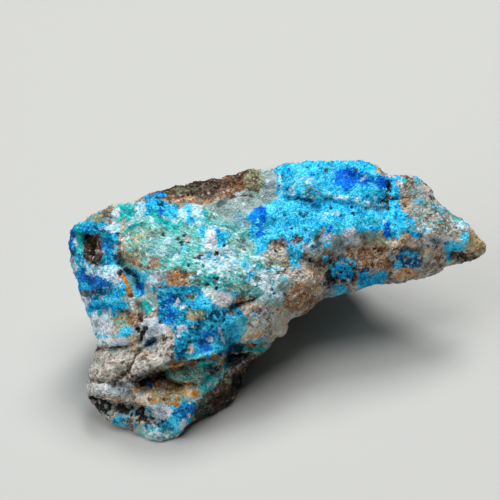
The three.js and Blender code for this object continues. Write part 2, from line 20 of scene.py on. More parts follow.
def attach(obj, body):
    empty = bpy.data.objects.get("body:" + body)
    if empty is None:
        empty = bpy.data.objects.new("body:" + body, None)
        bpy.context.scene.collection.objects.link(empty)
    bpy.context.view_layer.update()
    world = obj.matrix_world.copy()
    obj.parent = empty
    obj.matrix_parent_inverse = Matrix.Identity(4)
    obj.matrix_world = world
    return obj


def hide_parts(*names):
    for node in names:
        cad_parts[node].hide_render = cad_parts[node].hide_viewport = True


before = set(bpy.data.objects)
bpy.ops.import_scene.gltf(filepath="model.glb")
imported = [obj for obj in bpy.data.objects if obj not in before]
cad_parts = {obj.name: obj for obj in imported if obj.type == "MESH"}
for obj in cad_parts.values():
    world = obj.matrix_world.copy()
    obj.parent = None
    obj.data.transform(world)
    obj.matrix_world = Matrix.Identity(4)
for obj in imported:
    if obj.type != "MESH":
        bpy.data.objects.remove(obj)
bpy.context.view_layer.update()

# ---- Display plane, in millimetres, as in the part's source ---------------------------------------------
MM = 0.001
DISPLAY_TILT = math.radians(40)
VIEW_DISTANCE = 330.0
VIEW_CENTRE = np.array([-5.4, 34.7])
FOOT = np.array([-0.286, -24.320, 0.0])  # where the display plane meets the table, in the part's frame
ACROSS = np.array([1.0, 0.0, 0.0])
UP = np.array([0.0, math.sin(DISPLAY_TILT), math.cos(DISPLAY_TILT)])
OUT = np.array([0.0, -math.cos(DISPLAY_TILT), math.sin(DISPLAY_TILT)])
FACE_GRAIN = 0.85 * ACROSS - 0.53 * UP  # which way the pale crust's fibres run, and the beds of the foot
FOOT_GRAIN = 0.93 * ACROSS + 0.36 * UP
FRAME_WIDTH = 90.0  # how much of the display plane the picture's width takes in, in millimetres

FORM_VOXEL = 0.4  # size of the faces that the large forms are pressed into
VOXEL = 0.235  # size of the finished rock's faces
SLICES = ("rock_left", "rock_middle", "rock_right")  # the rock's mesh is cut across into these
SEED = 7


def seen(points):
    """Where points of the part are seen on the display plane."""
    spread = 1 - (points - FOOT) @ OUT / VIEW_DISTANCE
    flat = np.stack([(points - FOOT) @ ACROSS, (points - FOOT) @ UP], axis=1)
    return VIEW_CENTRE + (flat - VIEW_CENTRE) / spread[:, None]


# ---- Small tools ----------------------------------------------------------------------------------------
def smooth_step(low, high, value):
    """0 below the low end, 1 above the high end, and a smooth rise between them."""
    t = np.clip((value - low) / (high - low), 0, 1)
    return t * t * (3 - 2 * t)


def unit(vectors):
    return vectors / np.linalg.norm(vectors, axis=-1, keepdims=True)


LATTICE = 256  # the noise repeats after this many cells
_dice = np.random.default_rng(SEED)
SHUFFLED = _dice.permutation(LATTICE)
SLOPES = unit(_dice.normal(size=(LATTICE, 3)))
CENTRES = _dice.random((LATTICE, 3))


def lattice_index(cell):
    """A shuffled index for each whole-numbered cell."""
    x, y, z = (cell % LATTICE).T
    return SHUFFLED[(SHUFFLED[(SHUFFLED[x] + y) % LATTICE] + z) % LATTICE]


def soft_noise(points):
    """Gradient noise of about -1 to 1, with lumps of about one unit."""
    cell = np.floor(points).astype(int)
    inner = points - cell
    fade = inner ** 3 * (inner * (inner * 6 - 15) + 10)
    total = np.zeros(len(points))
    for corner in product((0, 1), repeat=3):
        corner = np.array(corner)
        height = ((inner - corner) * SLOPES[lattice_index(cell + corner)]).sum(axis=1)
        total += height * np.where(corner, fade, 1 - fade).prod(axis=1)
    return 1.5 * total


def rough_noise(points, size, octaves=3, offset=0.0):
    """Fractal noise of about -1 to 1, with lumps of about the given size in millimetres."""
    place = points / size + offset * np.array([1.0, -1.7, 0.6])
    return sum(0.54 ** octave * soft_noise(place * 2 ** octave + 5.3 * octave) for octave in range(octaves))


def wander(points, size, offset=0.0):
    """A smooth random direction at each point, for bending outlines out of their drawn course."""
    place = points / size + offset * np.array([1.0, 0.8, -1.3])
    return np.stack([soft_noise(place), soft_noise(place + 31.7)], axis=1)


def nearest_cell(points, size, offset=0.0):
    """Distance to the nearest of a random set of points, in units of their spacing."""
    place = points / size + offset * np.array([1.0, 0.7, -1.0])
    cell = np.floor(place).astype(int)
    best = np.full(len(points), np.inf)
    for step in product((-1, 0, 1), repeat=3):
        other = cell + np.array(step)
        best = np.minimum(best, ((other + CENTRES[lattice_index(other)] - place) ** 2).sum(axis=1))
    return np.sqrt(best)


def offset_from_line(plane, line):
    """Distance from points of the display plane to an open line, and 1 where they lie right of its course."""
    best = np.full(len(plane), np.inf)
    side = np.zeros(len(plane))
    for a, b in zip(np.array(line[:-1], float), np.array(line[1:], float)):
        step = b - a
        along = np.clip((plane - a) @ step / (step @ step), 0, 1)
        offset = plane - a - along[:, None] * step
        away = np.linalg.norm(offset, axis=1)
        closer = away < best
        best[closer] = away[closer]
        side[closer] = np.sign(offset[closer, 0] * step[1] - offset[closer, 1] * step[0])
    return best, side


def ridge_along(plane, line, width):
    """1 on a line, falling off smoothly to either side of it."""
    return np.exp(-((offset_from_line(plane, line)[0] / width) ** 2))


def inside(plane, corners):
    """Depth inside a closed outline, negative outside it."""
    within = np.zeros(len(plane), bool)
    for (ax, ay), (bx, by) in zip(corners, corners[1:] + corners[:1]):
        crosses = (ay > plane[:, 1]) != (by > plane[:, 1])
        reach = ax + (bx - ax) * (plane[:, 1] - ay) / (by - ay if by != ay else 1)
        within ^= crosses & (plane[:, 0] < reach)
    return np.where(within, 1, -1) * offset_from_line(plane, corners + corners[:1])[0]


# ---- Minerals -------------------------------------------------------------------------------------------
# Colours are sRGB. grit is fine roughness, knob the height of round knobs, crag that of sharp ridges and
# crust the mineral's thickness, all in millimetres. speck is how strongly it breaks into grains against what
# is next to it, and grain which way its pattern runs: 0 none, 1 as the pale face, 2 as the foot.
Mineral = namedtuple("Mineral", "dark middle light roughness grit knob crag crust speck grain")
MINERALS = {
    "azure": Mineral((0, 128, 200), (0, 200, 250), (130, 242, 255), 0.6, 0.09, 0.1, 0.06, 0.12, 0.7, 0),
    "lagoon": Mineral((0, 88, 128), (0, 148, 198), (76, 212, 246), 0.6, 0.1, 0.1, 0.1, 0.08, 0.8, 0),
    "royal": Mineral((0, 52, 170), (0, 104, 232), (0, 160, 252), 0.5, 0.04, 0.03, 0.05, 0.08, 0.4, 0),
    "cobalt": Mineral((0, 50, 124), (2, 102, 194), (46, 168, 240), 0.55, 0.08, 0.08, 0.06, 0.08, 0.7, 0),
    "navy": Mineral((0, 26, 50), (4, 72, 112), (36, 132, 170), 0.6, 0.08, 0.08, 0.1, 0.0, 0.8, 0),
    "teal": Mineral((0, 120, 126), (0, 172, 176), (92, 222, 216), 0.65, 0.06, 0.08, 0.05, 0.08, 0.5, 1),
    "sea": Mineral((52, 84, 80), (100, 142, 134), (164, 202, 190), 0.7, 0.07, 0.08, 0.05, 0.0, 0.6, 1),
    "mint": Mineral((70, 142, 142), (112, 192, 189), (178, 234, 229), 0.75, 0.05, 0.03, 0.1, 0.03, 0.5, 1),
    "olive": Mineral((86, 88, 62), (146, 152, 118), (202, 206, 172), 0.8, 0.06, 0.04, 0.12, 0.0, 0.6, 1),
    "chalk": Mineral((122, 204, 228), (200, 240, 250), (255, 255, 255), 0.8, 0.06, 0.06, 0.08, 0.1, 0.7, 1),
    "lilac": Mineral((138, 152, 178), (200, 210, 224), (248, 250, 252), 0.75, 0.05, 0.05, 0.06, 0.05, 0.6, 1),
    "rust": Mineral((88, 56, 36), (154, 114, 84), (214, 176, 136), 0.85, 0.08, 0.05, 0.16, 0.0, 0.8, 0),
    "amber": Mineral((136, 74, 18), (200, 126, 54), (232, 180, 112), 0.85, 0.07, 0.08, 0.1, 0.0, 0.7, 0),
    "ochre": Mineral((112, 88, 46), (184, 154, 98), (230, 210, 164), 0.85, 0.07, 0.08, 0.12, 0.0, 0.7, 0),
    "umber": Mineral((44, 35, 29), (98, 82, 68), (160, 140, 119), 0.85, 0.07, 0.03, 0.15, -0.03, 0.9, 0),
    "soot": Mineral((10, 11, 12), (34, 34, 35), (100, 98, 93), 0.7, 0.08, 0.05, 0.15, -0.08, 1.0, 0),
    "sand": Mineral((116, 108, 100), (184, 177, 168), (234, 229, 221), 0.9, 0.09, 0.03, 0.22, 0.0, 0.7, 2),
    "quartz": Mineral((106, 131, 128), (140, 167, 164), (184, 201, 197), 0.4, 0.04, 0.03, 0.12, 0.0, 0.5, 0),
    "peach": Mineral((150, 118, 90), (206, 178, 149), (244, 229, 210), 0.85, 0.09, 0.05, 0.22, 0.0, 0.7, 0),
}
NAMES = list(MINERALS)
# What grows mixed into each mineral, and the share of it that gives way.
COMPANIONS = {
    "azure": (("royal", 0.03), ("lagoon", 0.1)),
    "lagoon": (("azure", 0.25), ("navy", 0.12), ("teal", 0.1)),
    "royal": (("azure", 0.1),),
    "cobalt": (("azure", 0.15), ("navy", 0.12), ("lagoon", 0.1)),
    "mint": (("chalk", 0.15), ("teal", 0.12), ("olive", 0.08)),
    "chalk": (("azure", 0.08), ("mint", 0.15), ("lilac", 0.15)),
    "lilac": (("chalk", 0.15), ("quartz", 0.12)),
    "sand": (("quartz", 0.12), ("umber", 0.1)),
    "peach": (("sand", 0.15), ("rust", 0.08), ("quartz", 0.08)),
    "rust": (("umber", 0.18), ("peach", 0.1)),
    "umber": (("rust", 0.12), ("sand", 0.08), ("soot", 0.1)),
    "quartz": (("lilac", 0.06),),
    "soot": (("sand", 0.2), ("umber", 0.15)),
    "ochre": (("olive", 0.15), ("amber", 0.12), ("peach", 0.12)),
}


# How far noise bends the outlines of patches, coarsely and finely, and the course of thin strokes.
PATCH_BEND, PATCH_FINE_BEND, STROKE_BEND = 0.4, 0.22, 0.13
EDGE_WEAR, SPOT_WEAR = 0.15, 0.06  # how ragged the edges of strokes and of spots are, in millimetres
SOFT_WEAR = 1.2  # how much more ragged they are for each millimetre of softness
WEAR_SIZE, BLOTCH_SIZE = 0.8, 0.9  # size of the noise that frays edges, and of the blotches left out
NOISE_EDGE = 0.1  # how softly blotches end
EDGE_REACH = 4  # how far from its outline a stroke can still show, in its softness
MINGLING = 0.8  # share of a mineral that its companions take where they come up
MINGLE_SIZE, MINGLE_STEP = 1.5, 0.3  # size of a first companion's patches, and how much smaller the next
SHADE_REACH = 0.6  # where a shade has fallen to a third, in its widths

# The strokes: a patch with a drawn outline, a rounded patch over a range across and a range up, a thin streak
# along a line, and small round spots of one size. amount is how much a stroke covers, broken the share of it
# that is left out in blotches, and soft how gradually it ends.
Area = namedtuple("Area", "mineral corners amount broken soft", defaults=(0.95, 0.0, 0.3))
Patch = namedtuple("Patch", "mineral left right low high amount broken soft", defaults=(0.9, 0.0, 0.35))
Streak = namedtuple("Streak", "mineral line width amount broken soft", defaults=(0.8, 0.9, 0.0, 0.15))
Spots = namedtuple("Spots", "mineral centres radius amount soft", defaults=(0.45, 0.95, 0.12))


def points_near(plane, corners, margin):
    """Which points of the display plane are within a margin of the box around some corners."""
    low, high = np.min(corners, axis=0) - margin, np.max(corners, axis=0) + margin
    return np.flatnonzero(((plane > low) & (plane < high)).all(axis=1))


class Painter:
    """The share of each mineral at each point. What is laid last covers what is under it."""

    def __init__(self, points, plane, facing, ground):
        self.front = np.flatnonzero(facing > 0)
        self.facing = facing[self.front]
        self.points = points[self.front]
        plane = plane[self.front]
        self.bent = plane + PATCH_BEND * wander(self.points, 2.6)
        self.bent += PATCH_FINE_BEND * wander(self.points, 0.9, 5.0)
        self.true = plane + STROKE_BEND * wander(self.points, 0.8, 9.0)
        self.all_shares = np.stack([ground.get(name, np.zeros(len(points))) for name in NAMES])
        self.shares = self.all_shares[:, self.front]
        # The tone holds painted shade and painted highlights laid along lines.
        self.tone = np.zeros(len(self.front))
        self.wear = rough_noise(self.points, WEAR_SIZE, 3, 5.0)
        self.blotches = {}

    def lay(self, mineral, near, depth, amount, soft, broken=0.0, wear=EDGE_WEAR):
        """Lay a mineral where depth is above nought, leaving out the broken share of it in blotches."""
        index = NAMES.index(mineral)
        torn = depth + (wear + SOFT_WEAR * soft) * self.wear[near]
        cover = amount * smooth_step(-soft, soft, torn) * self.facing[near]
        if broken > 0:
            if mineral not in self.blotches:
                self.blotches[mineral] = rough_noise(self.points, BLOTCH_SIZE, 3, 3.0 * index + 40)
            edge = np.quantile(self.blotches[mineral], broken)
            cover = cover * smooth_step(edge - NOISE_EDGE, edge + NOISE_EDGE, self.blotches[mineral][near])
        self.shares[:, near] *= 1 - cover
        self.shares[index, near] += cover

    def area(self, mineral, corners, amount, broken, soft):
        near = points_near(self.bent, corners, EDGE_REACH * soft)
        self.lay(mineral, near, inside(self.bent[near], corners), amount, soft, broken)

    def patch(self, mineral, left, right, low, high, amount, broken, soft):
        near = points_near(self.bent, [(left, low), (right, high)], EDGE_REACH * soft)
        half = np.array([right - left, high - low]) / 2
        middle = np.array([left + right, low + high]) / 2
        reach = np.linalg.norm((self.bent[near] - middle) / half, axis=1)
        self.lay(mineral, near, (1 - reach) * half.min(), amount, soft, broken)

    def streak(self, mineral, line, width, amount, broken, soft):
        near = points_near(self.true, line, width + EDGE_REACH * soft)
        away = offset_from_line(self.true[near], line)[0]
        self.lay(mineral, near, width / 2 - away, amount, soft, broken)

    def spots(self, mineral, centres, radius, amount, soft):
        for centre in centres:
            near = points_near(self.true, [centre], radius + EDGE_REACH * soft)
            away = np.linalg.norm(self.true[near] - np.array(centre, float), axis=1)
            self.lay(mineral, near, radius - away, amount, soft, wear=SPOT_WEAR)

    def paint(self, strokes):
        """Lay strokes one after the other."""
        ways = {Area: self.area, Patch: self.patch, Streak: self.streak, Spots: self.spots}
        for stroke in strokes:
            ways[type(stroke)](*stroke)

    def shade(self, line, width, change):
        """Paint shade or highlight along a line, by darkening or lightening what is painted there."""
        near = points_near(self.true, line, 2 * width)
        self.tone[near] += change * ridge_along(self.true[near], line, SHADE_REACH * width)

    def mingle(self):
        """Let each mineral's companions come up through it in patches of a millimetre or two."""
        before = self.shares.copy()
        for index, (mineral, others) in enumerate(COMPANIONS.items()):
            home = NAMES.index(mineral)
            near = np.flatnonzero(before[home] > 0.05)
            for turn, (other, amount) in enumerate(others):
                size = MINGLE_SIZE - MINGLE_STEP * turn
                pattern = rough_noise(self.points[near], size, 3, 90.0 + 7 * index + 2 * turn)
                edge = np.quantile(pattern, 1 - amount)
                shown = smooth_step(edge - NOISE_EDGE, edge + NOISE_EDGE, pattern)
                given = np.minimum(MINGLING * before[home, near] * shown, self.shares[home, near])
                self.shares[home, near] -= given
                self.shares[NAMES.index(other), near] += given

    def finished(self):
        """Shares, and tone with its painted shade and highlights, at every point of the rock."""
        tone = np.zeros(self.all_shares.shape[1])
        self.all_shares[:, self.front] = self.shares
        tone[self.front] = self.tone
        return self.all_shares, tone


# ---- What grows where on the display side ---------------------------------------------------------------
# Each region's strokes, in the order they are laid. A few stand for painted shade or highlight, marked where
# they are.
LEFT_LOBE = [
    Area("lagoon", [(-39, 31), (-39, 40), (-35, 43), (-30, 41), (-28.4, 36), (-28, 30), (-27.6, 24),
                    (-30, 22), (-35, 23), (-38, 27)]),
    Patch("azure", -31, -29, 35.6, 37.6, 0.8, 0.2),
    Patch("azure", -34.4, -31, 22.4, 26, 0.8, 0.2),
    Patch("azure", -31.2, -28.6, 25, 28, 0.7, 0.3),
    Streak("cobalt", [(-37.6, 39.6), (-37.4, 37), (-37, 34.4)], 1.6),
    Streak("teal", [(-36.1, 38.8), (-36.2, 34.6)], 1.3, 0.8),
    Streak("lilac", [(-37, 36.6), (-36.7, 35.6)], 0.6),
    Patch("navy", -38, -36.7, 33.3, 35.2),
    Patch("lilac", -38, -36.5, 30, 33.5, 0.85),
    Patch("olive", -35.2, -30.3, 39.4, 42.2, 0.9, 0.1),
    Patch("umber", -32.4, -30, 40.5, 42.2),
    Patch("cobalt", -35.6, -33.2, 37.9, 39, 0.9),
    Patch("azure", -33.2, -31, 38.2, 39.3),
    Streak("chalk", [(-32.7, 38.3), (-31.3, 38.9)], 0.4, 0.8),
    Patch("chalk", -31.5, -28.7, 37.8, 40, 0.9, 0.1),
    Patch("rust", -30.9, -29.7, 39.2, 40.4, 0.9),
    Area("umber", [(-35.3, 33), (-35.2, 37), (-34, 37.9), (-32, 37.4), (-31.8, 34.6), (-32.2, 32.3),
                   (-34, 32)]),
    Patch("soot", -34.9, -31.8, 31.8, 35.6, 0.85, 0.25),
    Streak("peach", [(-33, 34.5), (-31.8, 34.3)], 0.5, 0.8),
    Patch("cobalt", -32.4, -29.4, 33.4, 36.6, 0.8, 0.35),
    Patch("cobalt", -36.4, -33.6, 28.6, 31.6, 0.95, 0.1),
    Patch("cobalt", -34.4, -30, 27.4, 30.6, 0.95),
    Patch("cobalt", -37, -31.4, 24.4, 28.4, 0.6, 0.45),
    Area("chalk", [(-36, 32.8), (-33, 31.6), (-31, 32), (-29, 32.2), (-28.6, 30.6), (-30, 28.9),
                   (-31.2, 29.4), (-33.6, 30.6), (-34.6, 31)], 0.75, 0.1, 0.5),
    Patch("lilac", -34.4, -30, 30, 32, 0.6, 0.3),
    Patch("lilac", -30.6, -28.3, 28.2, 31.2, 0.7, 0.2),
    Spots("lilac", [(-34.6, 30.5), (-31.5, 30.3), (-30.8, 29.6), (-32.2, 26.1), (-31.1, 27.7)], 0.42),
    Patch("umber", -36.4, -33, 26.2, 27.9, 0.8, 0.1),
    Patch("lilac", -36.6, -34, 24.2, 26.6, 0.9),
    Patch("navy", -33, -31.4, 26.5, 28, 0.9),
    # Partly painted shade: the navy streak is the crease's deep blue, darkened as the shade in the crease.
    Streak("navy", [(-29.8, 33.4), (-28.4, 31.8), (-26.4, 30.2), (-25.6, 28.4)], 1.0),
    Streak("umber", [(-28.8, 30.6), (-28.2, 29.6), (-27.4, 28.2), (-26.8, 26.6)], 1.0),
    Spots("soot", [(-28.2, 30.1), (-28.6, 30.6)], 0.4),
    Streak("amber", [(-28.2, 29.9), (-27.6, 28.6), (-27, 27.2)], 0.8, 0.95, 0.1),
    Patch("mint", -27.2, -25.9, 27.4, 30.2, 0.85),
    Patch("cobalt", -26.1, -23.8, 26.6, 28.8, 0.85),
]
# The pale lumps between the left lobe and the foot.
SHOULDER = [
    Area("azure", [(-31, 24.2), (-30.6, 26), (-28.4, 26.4), (-27, 25.4), (-27.2, 23.8),
                   (-29, 23.6)], 0.95, 0, 0.2),
    Area("lilac", [(-34, 19.4), (-33.8, 23.4), (-30.4, 24.2), (-29.8, 21), (-30.6, 19.8)], 0.9),
    Spots("teal", [(-32.4, 23.2)], 0.45),
    Patch("rust", -30.2, -26.2, 20.6, 23.8, 0.8, 0.2, 0.6),
    Patch("olive", -30.4, -26.2, 20.4, 23.8, 0.9, 0.4, 0.5),
    Patch("teal", -30, -27, 20.6, 23.4, 0.6, 0.7),
    Patch("rust", -27.5, -25.8, 21.2, 23.4),
    Streak("lilac", [(-26.9, 25.3), (-26.5, 24)], 0.6),
    Patch("teal", -24.9, -22.4, 23, 26.2, 0.95),
    Streak("chalk", [(-23.6, 25.6), (-23, 25), (-22.6, 24.2)], 0.5),
    Streak("soot", [(-25.3, 24), (-25.2, 22.6), (-25, 22)], 0.7),
    Patch("azure", -29.5, -26.4, 19.1, 20.8, 0.95),
    Patch("chalk", -33.2, -30, 18.5, 20.1, 0.9),
    Spots("azure", [(-31.3, 19), (-32.4, 19.2)], 0.45),
    Patch("lilac", -33.2, -26.8, 17.3, 18.9, 0.95),
    Streak("umber", [(-33.2, 16.7), (-32.4, 16.8), (-30, 17.2), (-27.6, 17.3)], 0.45, 0.8),
    Spots("soot", [(-32.7, 16.7), (-32.1, 16.8)], 0.35),
    Patch("lilac", -25.6, -20.6, 18.6, 22.4, 0.95),
    Patch("chalk", -24.2, -21.8, 20, 22, 0.6),
    Patch("navy", -24.4, -22.1, 16.9, 19.1, 0.85, 0.1),
    Patch("peach", -27.2, -25.3, 16.4, 19.5, 0.9),
    Streak("soot", [(-24.2, 20.6), (-24.8, 19.2), (-25.1, 18.4)], 0.6),
    Spots("soot", [(-25.5, 20.3), (-21.5, 21.7)], 0.4),
]
MINT_FACE = [
    Area("mint", [(-29, 41), (-21, 42), (-13, 42), (-4, 37), (-5, 26.4), (-12, 28), (-21, 29.4),
                  (-28.6, 31.6)]),
    Patch("teal", -29.6, -26.2, 39.5, 43.4, 0.9),
    Patch("lilac", -30, -28.6, 40.6, 41.9, 0.9),
    Patch("chalk", -26.2, -23.7, 40.4, 43.4, 0.9),
    Patch("lilac", -27.6, -26.4, 38.8, 40.2, 0.8),
    Area("azure", [(-24, 41), (-24, 43.8), (-21, 43.8), (-18.4, 42.2), (-18, 40.4), (-20, 40),
                   (-22, 41)], 0.97, 0, 0.2),
    Streak("navy", [(-22, 42.9), (-20.9, 42.6), (-20.6, 41.9)], 0.4),
    Streak("teal", [(-22.9, 41.2), (-22, 40.3), (-20, 39.3), (-18.6, 38.4)], 1.3),
    Patch("olive", -27, -22, 36.4, 39, 0.7, 0.25),
    Area("sea", [(-25, 36.8), (-23.4, 38.6), (-20.8, 38.6), (-20.4, 37.3), (-23, 37)], 0.95),
    Streak("teal", [(-27.8, 38), (-25.5, 39.5)], 0.6, 0.8),
    Patch("chalk", -30.5, -28.7, 38, 39.9, 0.85),
    Patch("peach", -28.6, -27.7, 38.4, 40.3, 0.7),
    Patch("peach", -29.4, -27.6, 33.4, 37.8, 0.8, 0.1, 0.5),
    Patch("umber", -29.6, -25.4, 31.4, 35.6, 0.65, 0.35, 0.5),
    Patch("olive", -28.4, -24, 31, 37.2, 0.5, 0.3, 0.6),
    Patch("lilac", -24.2, -19, 33.4, 36, 0.35),
    Patch("teal", -20.2, -13.6, 31, 38.2, 0.3, 0.1),
    Patch("azure", -18.2, -16.6, 33.5, 36.2, 0.4),
    Patch("chalk", -18.6, -13.2, 39, 42.7, 0.75, 0.25),
    Patch("azure", -18.6, -13.2, 39, 42.7, 0.5, 0.68),
    Patch("azure", -17.4, -16, 41.5, 42.6, 0.85),
    Streak("azure", [(-16.2, 41.2), (-16.3, 40)], 0.6),
    Streak("teal", [(-13.6, 42), (-13.2, 40.5), (-12.9, 39.4)], 0.5),
    Patch("chalk", -14.5, -8, 30.8, 36.2, 0.9),
    Patch("chalk", -14, -5.4, 28.6, 33, 0.55, 0.25, 0.6),
    Patch("lilac", -10.4, -6.4, 30.4, 37, 0.3, 0.2),
    Patch("teal", -15.2, -13.9, 35, 36.1, 0.9),
    Area("azure", [(-14.9, 37.7), (-14.2, 38.9), (-13.5, 39), (-12.9, 38.6), (-13.3, 37.6), (-13.9, 36.9),
                   (-14.6, 37.2)], 0.97, 0, 0.15),
    Area("lilac", [(-13.3, 38.4), (-11.8, 38.2), (-11, 36.4), (-11.8, 34.6), (-13, 35)], 0.97, 0, 0.15),
    Area("azure", [(-11.9, 38.4), (-10.7, 38.1), (-8.6, 37.6), (-9.9, 36.8), (-10.2, 35.4), (-11.2, 34.7),
                   (-11, 36), (-11.4, 37.3)], 0.97, 0, 0.15),
    Streak("chalk", [(-12.9, 39), (-11, 38.7), (-9, 38.1), (-7.6, 37.6)], 0.45, 0.85),
    Patch("azure", -6.6, -5.2, 31, 32.8, 0.85),
    Patch("umber", -7.8, -5.2, 34, 38, 0.7, 0.6),
    Spots("navy", [(-10.1, 35.5)], 0.35),
    Patch("teal", -15, -10.8, 27.8, 30.4, 0.85, 0.2),
    Patch("navy", -14.6, -11, 28, 29.8, 0.5, 0.45),
    Spots("soot", [(-18.4, 36.9), (-17.2, 37.3), (-16.3, 37.1), (-17.7, 36.2), (-16.9, 36.6), (-15.2, 33.4),
                   (-14.2, 33.9), (-11.5, 34)], 0.4),
    Spots("navy", [(-17.6, 35.6), (-14.5, 33.3), (-13.8, 31.9), (-16.4, 32.1)], 0.3),
    Spots("umber", [(-17.8, 34.8), (-18.2, 34.1), (-11.6, 32.3), (-11, 33), (-9.8, 34.6)], 0.2, 0.85),
    Streak("soot", [(-16.8, 36.4), (-16.5, 36.1)], 0.5),
    Spots("soot", [(-21, 37.4)], 0.35),
]
# The rust and grey ground along the lower edge of the pale face.
RUST_PATCH = [
    Streak("rust", [(-28.5, 34), (-26, 32.5), (-24, 31.2)], 1.2, 0.6, 0.35),
    Patch("rust", -24.4, -21, 31, 33.5, 0.7, 0.15),
    Patch("quartz", -24.4, -20, 25.2, 31, 0.9),
    Patch("lilac", -23.8, -20.4, 28.2, 30.6, 0.7, 0.2),
    Spots("chalk", [(-22.4, 29), (-23.2, 29.6)], 0.5),
    Spots("azure", [(-20.8, 28.8), (-22.6, 27.6)], 0.45),
    Area("rust", [(-20.2, 28), (-20.4, 30.4), (-19, 31.4), (-16.4, 31), (-16, 28.6), (-17.6, 27.2),
                  (-19.4, 27.2)], 0.97),
    Patch("peach", -20.4, -16.2, 27.4, 31.2, 0.85, 0.1),
    Patch("amber", -20.2, -16.8, 28, 30.8, 0.65, 0.45),
    Patch("umber", -17.6, -15.3, 29.9, 31.1, 0.85),
    Patch("sea", -16.3, -14, 28.2, 29.5, 0.9),
    Spots("soot", [(-13.1, 28.4), (-11.7, 28.8), (-11.5, 27.8)], 0.36),
    Streak("soot", [(-11.8, 29.6), (-11.2, 29.5)], 0.6),
]
UPPER_LEDGE = [
    Area("umber", [(-24.6, 43.6), (-22, 45.2), (-18, 46.6), (-15.6, 47.6), (-8, 49.6), (-2.4, 50.4),
                   (-2.6, 46), (-8, 44.4), (-15, 43.6)]),
    Patch("sand", -15.8, -13, 45.6, 46.8, 0.5),
    Patch("olive", -19.2, -16, 44.8, 45.9, 0.7),
    Streak("azure", [(-23.9, 44), (-22, 44.6), (-20.9, 44.5)], 0.8),
    Streak("rust", [(-23, 43.7), (-20, 43.5), (-16.6, 43.8), (-14.4, 43.3)], 1.0, 0.9),
    Streak("peach", [(-22.6, 43.7), (-20, 43.5), (-16.6, 43.8), (-14.4, 43.4)], 0.6, 0.85, 0.3),
    Streak("umber", [(-20.4, 44.2), (-17, 44.6), (-13, 44.8), (-10, 45.2)], 0.5),
    Streak("rust", [(-13.7, 43.4), (-11, 43.8), (-9.3, 44.3)], 0.8),
    Area("quartz", [(-13.4, 43), (-8, 44.6), (-4.6, 46.6), (-3.2, 50.4), (0, 50.4), (0.2, 43.4), (-4, 38.4),
                    (-12.4, 39)], 0.97, 0, 0.2),
    Patch("lilac", -10, -4.4, 42.4, 44.4, 0.15),
    Area("rust", [(-10.2, 44.9), (-9.8, 48.6), (-6, 48.8), (-5.8, 45.4), (-8, 44.8)], 0.7, 0.2),
    Patch("olive", -6.2, -3.1, 45, 49.6, 0.9),
    Patch("umber", -6.2, -3.1, 45, 49.6, 0.45, 0.6),
    Patch("umber", -6, -3.6, 45.4, 48.6, 0.6, 0.15),
    Patch("lilac", -3.2, -0.2, 43.8, 50, 0.3),
    Patch("azure", -8.7, -5.5, 38.1, 41.8, 0.5),
    Patch("quartz", -8.4, -5.8, 38.4, 41.4, 0.4, 0.4),
    Streak("umber", [(-9, 44.2), (-7.4, 44.4), (-5.2, 44.6), (-4.6, 44)], 0.4, 0.85),
]
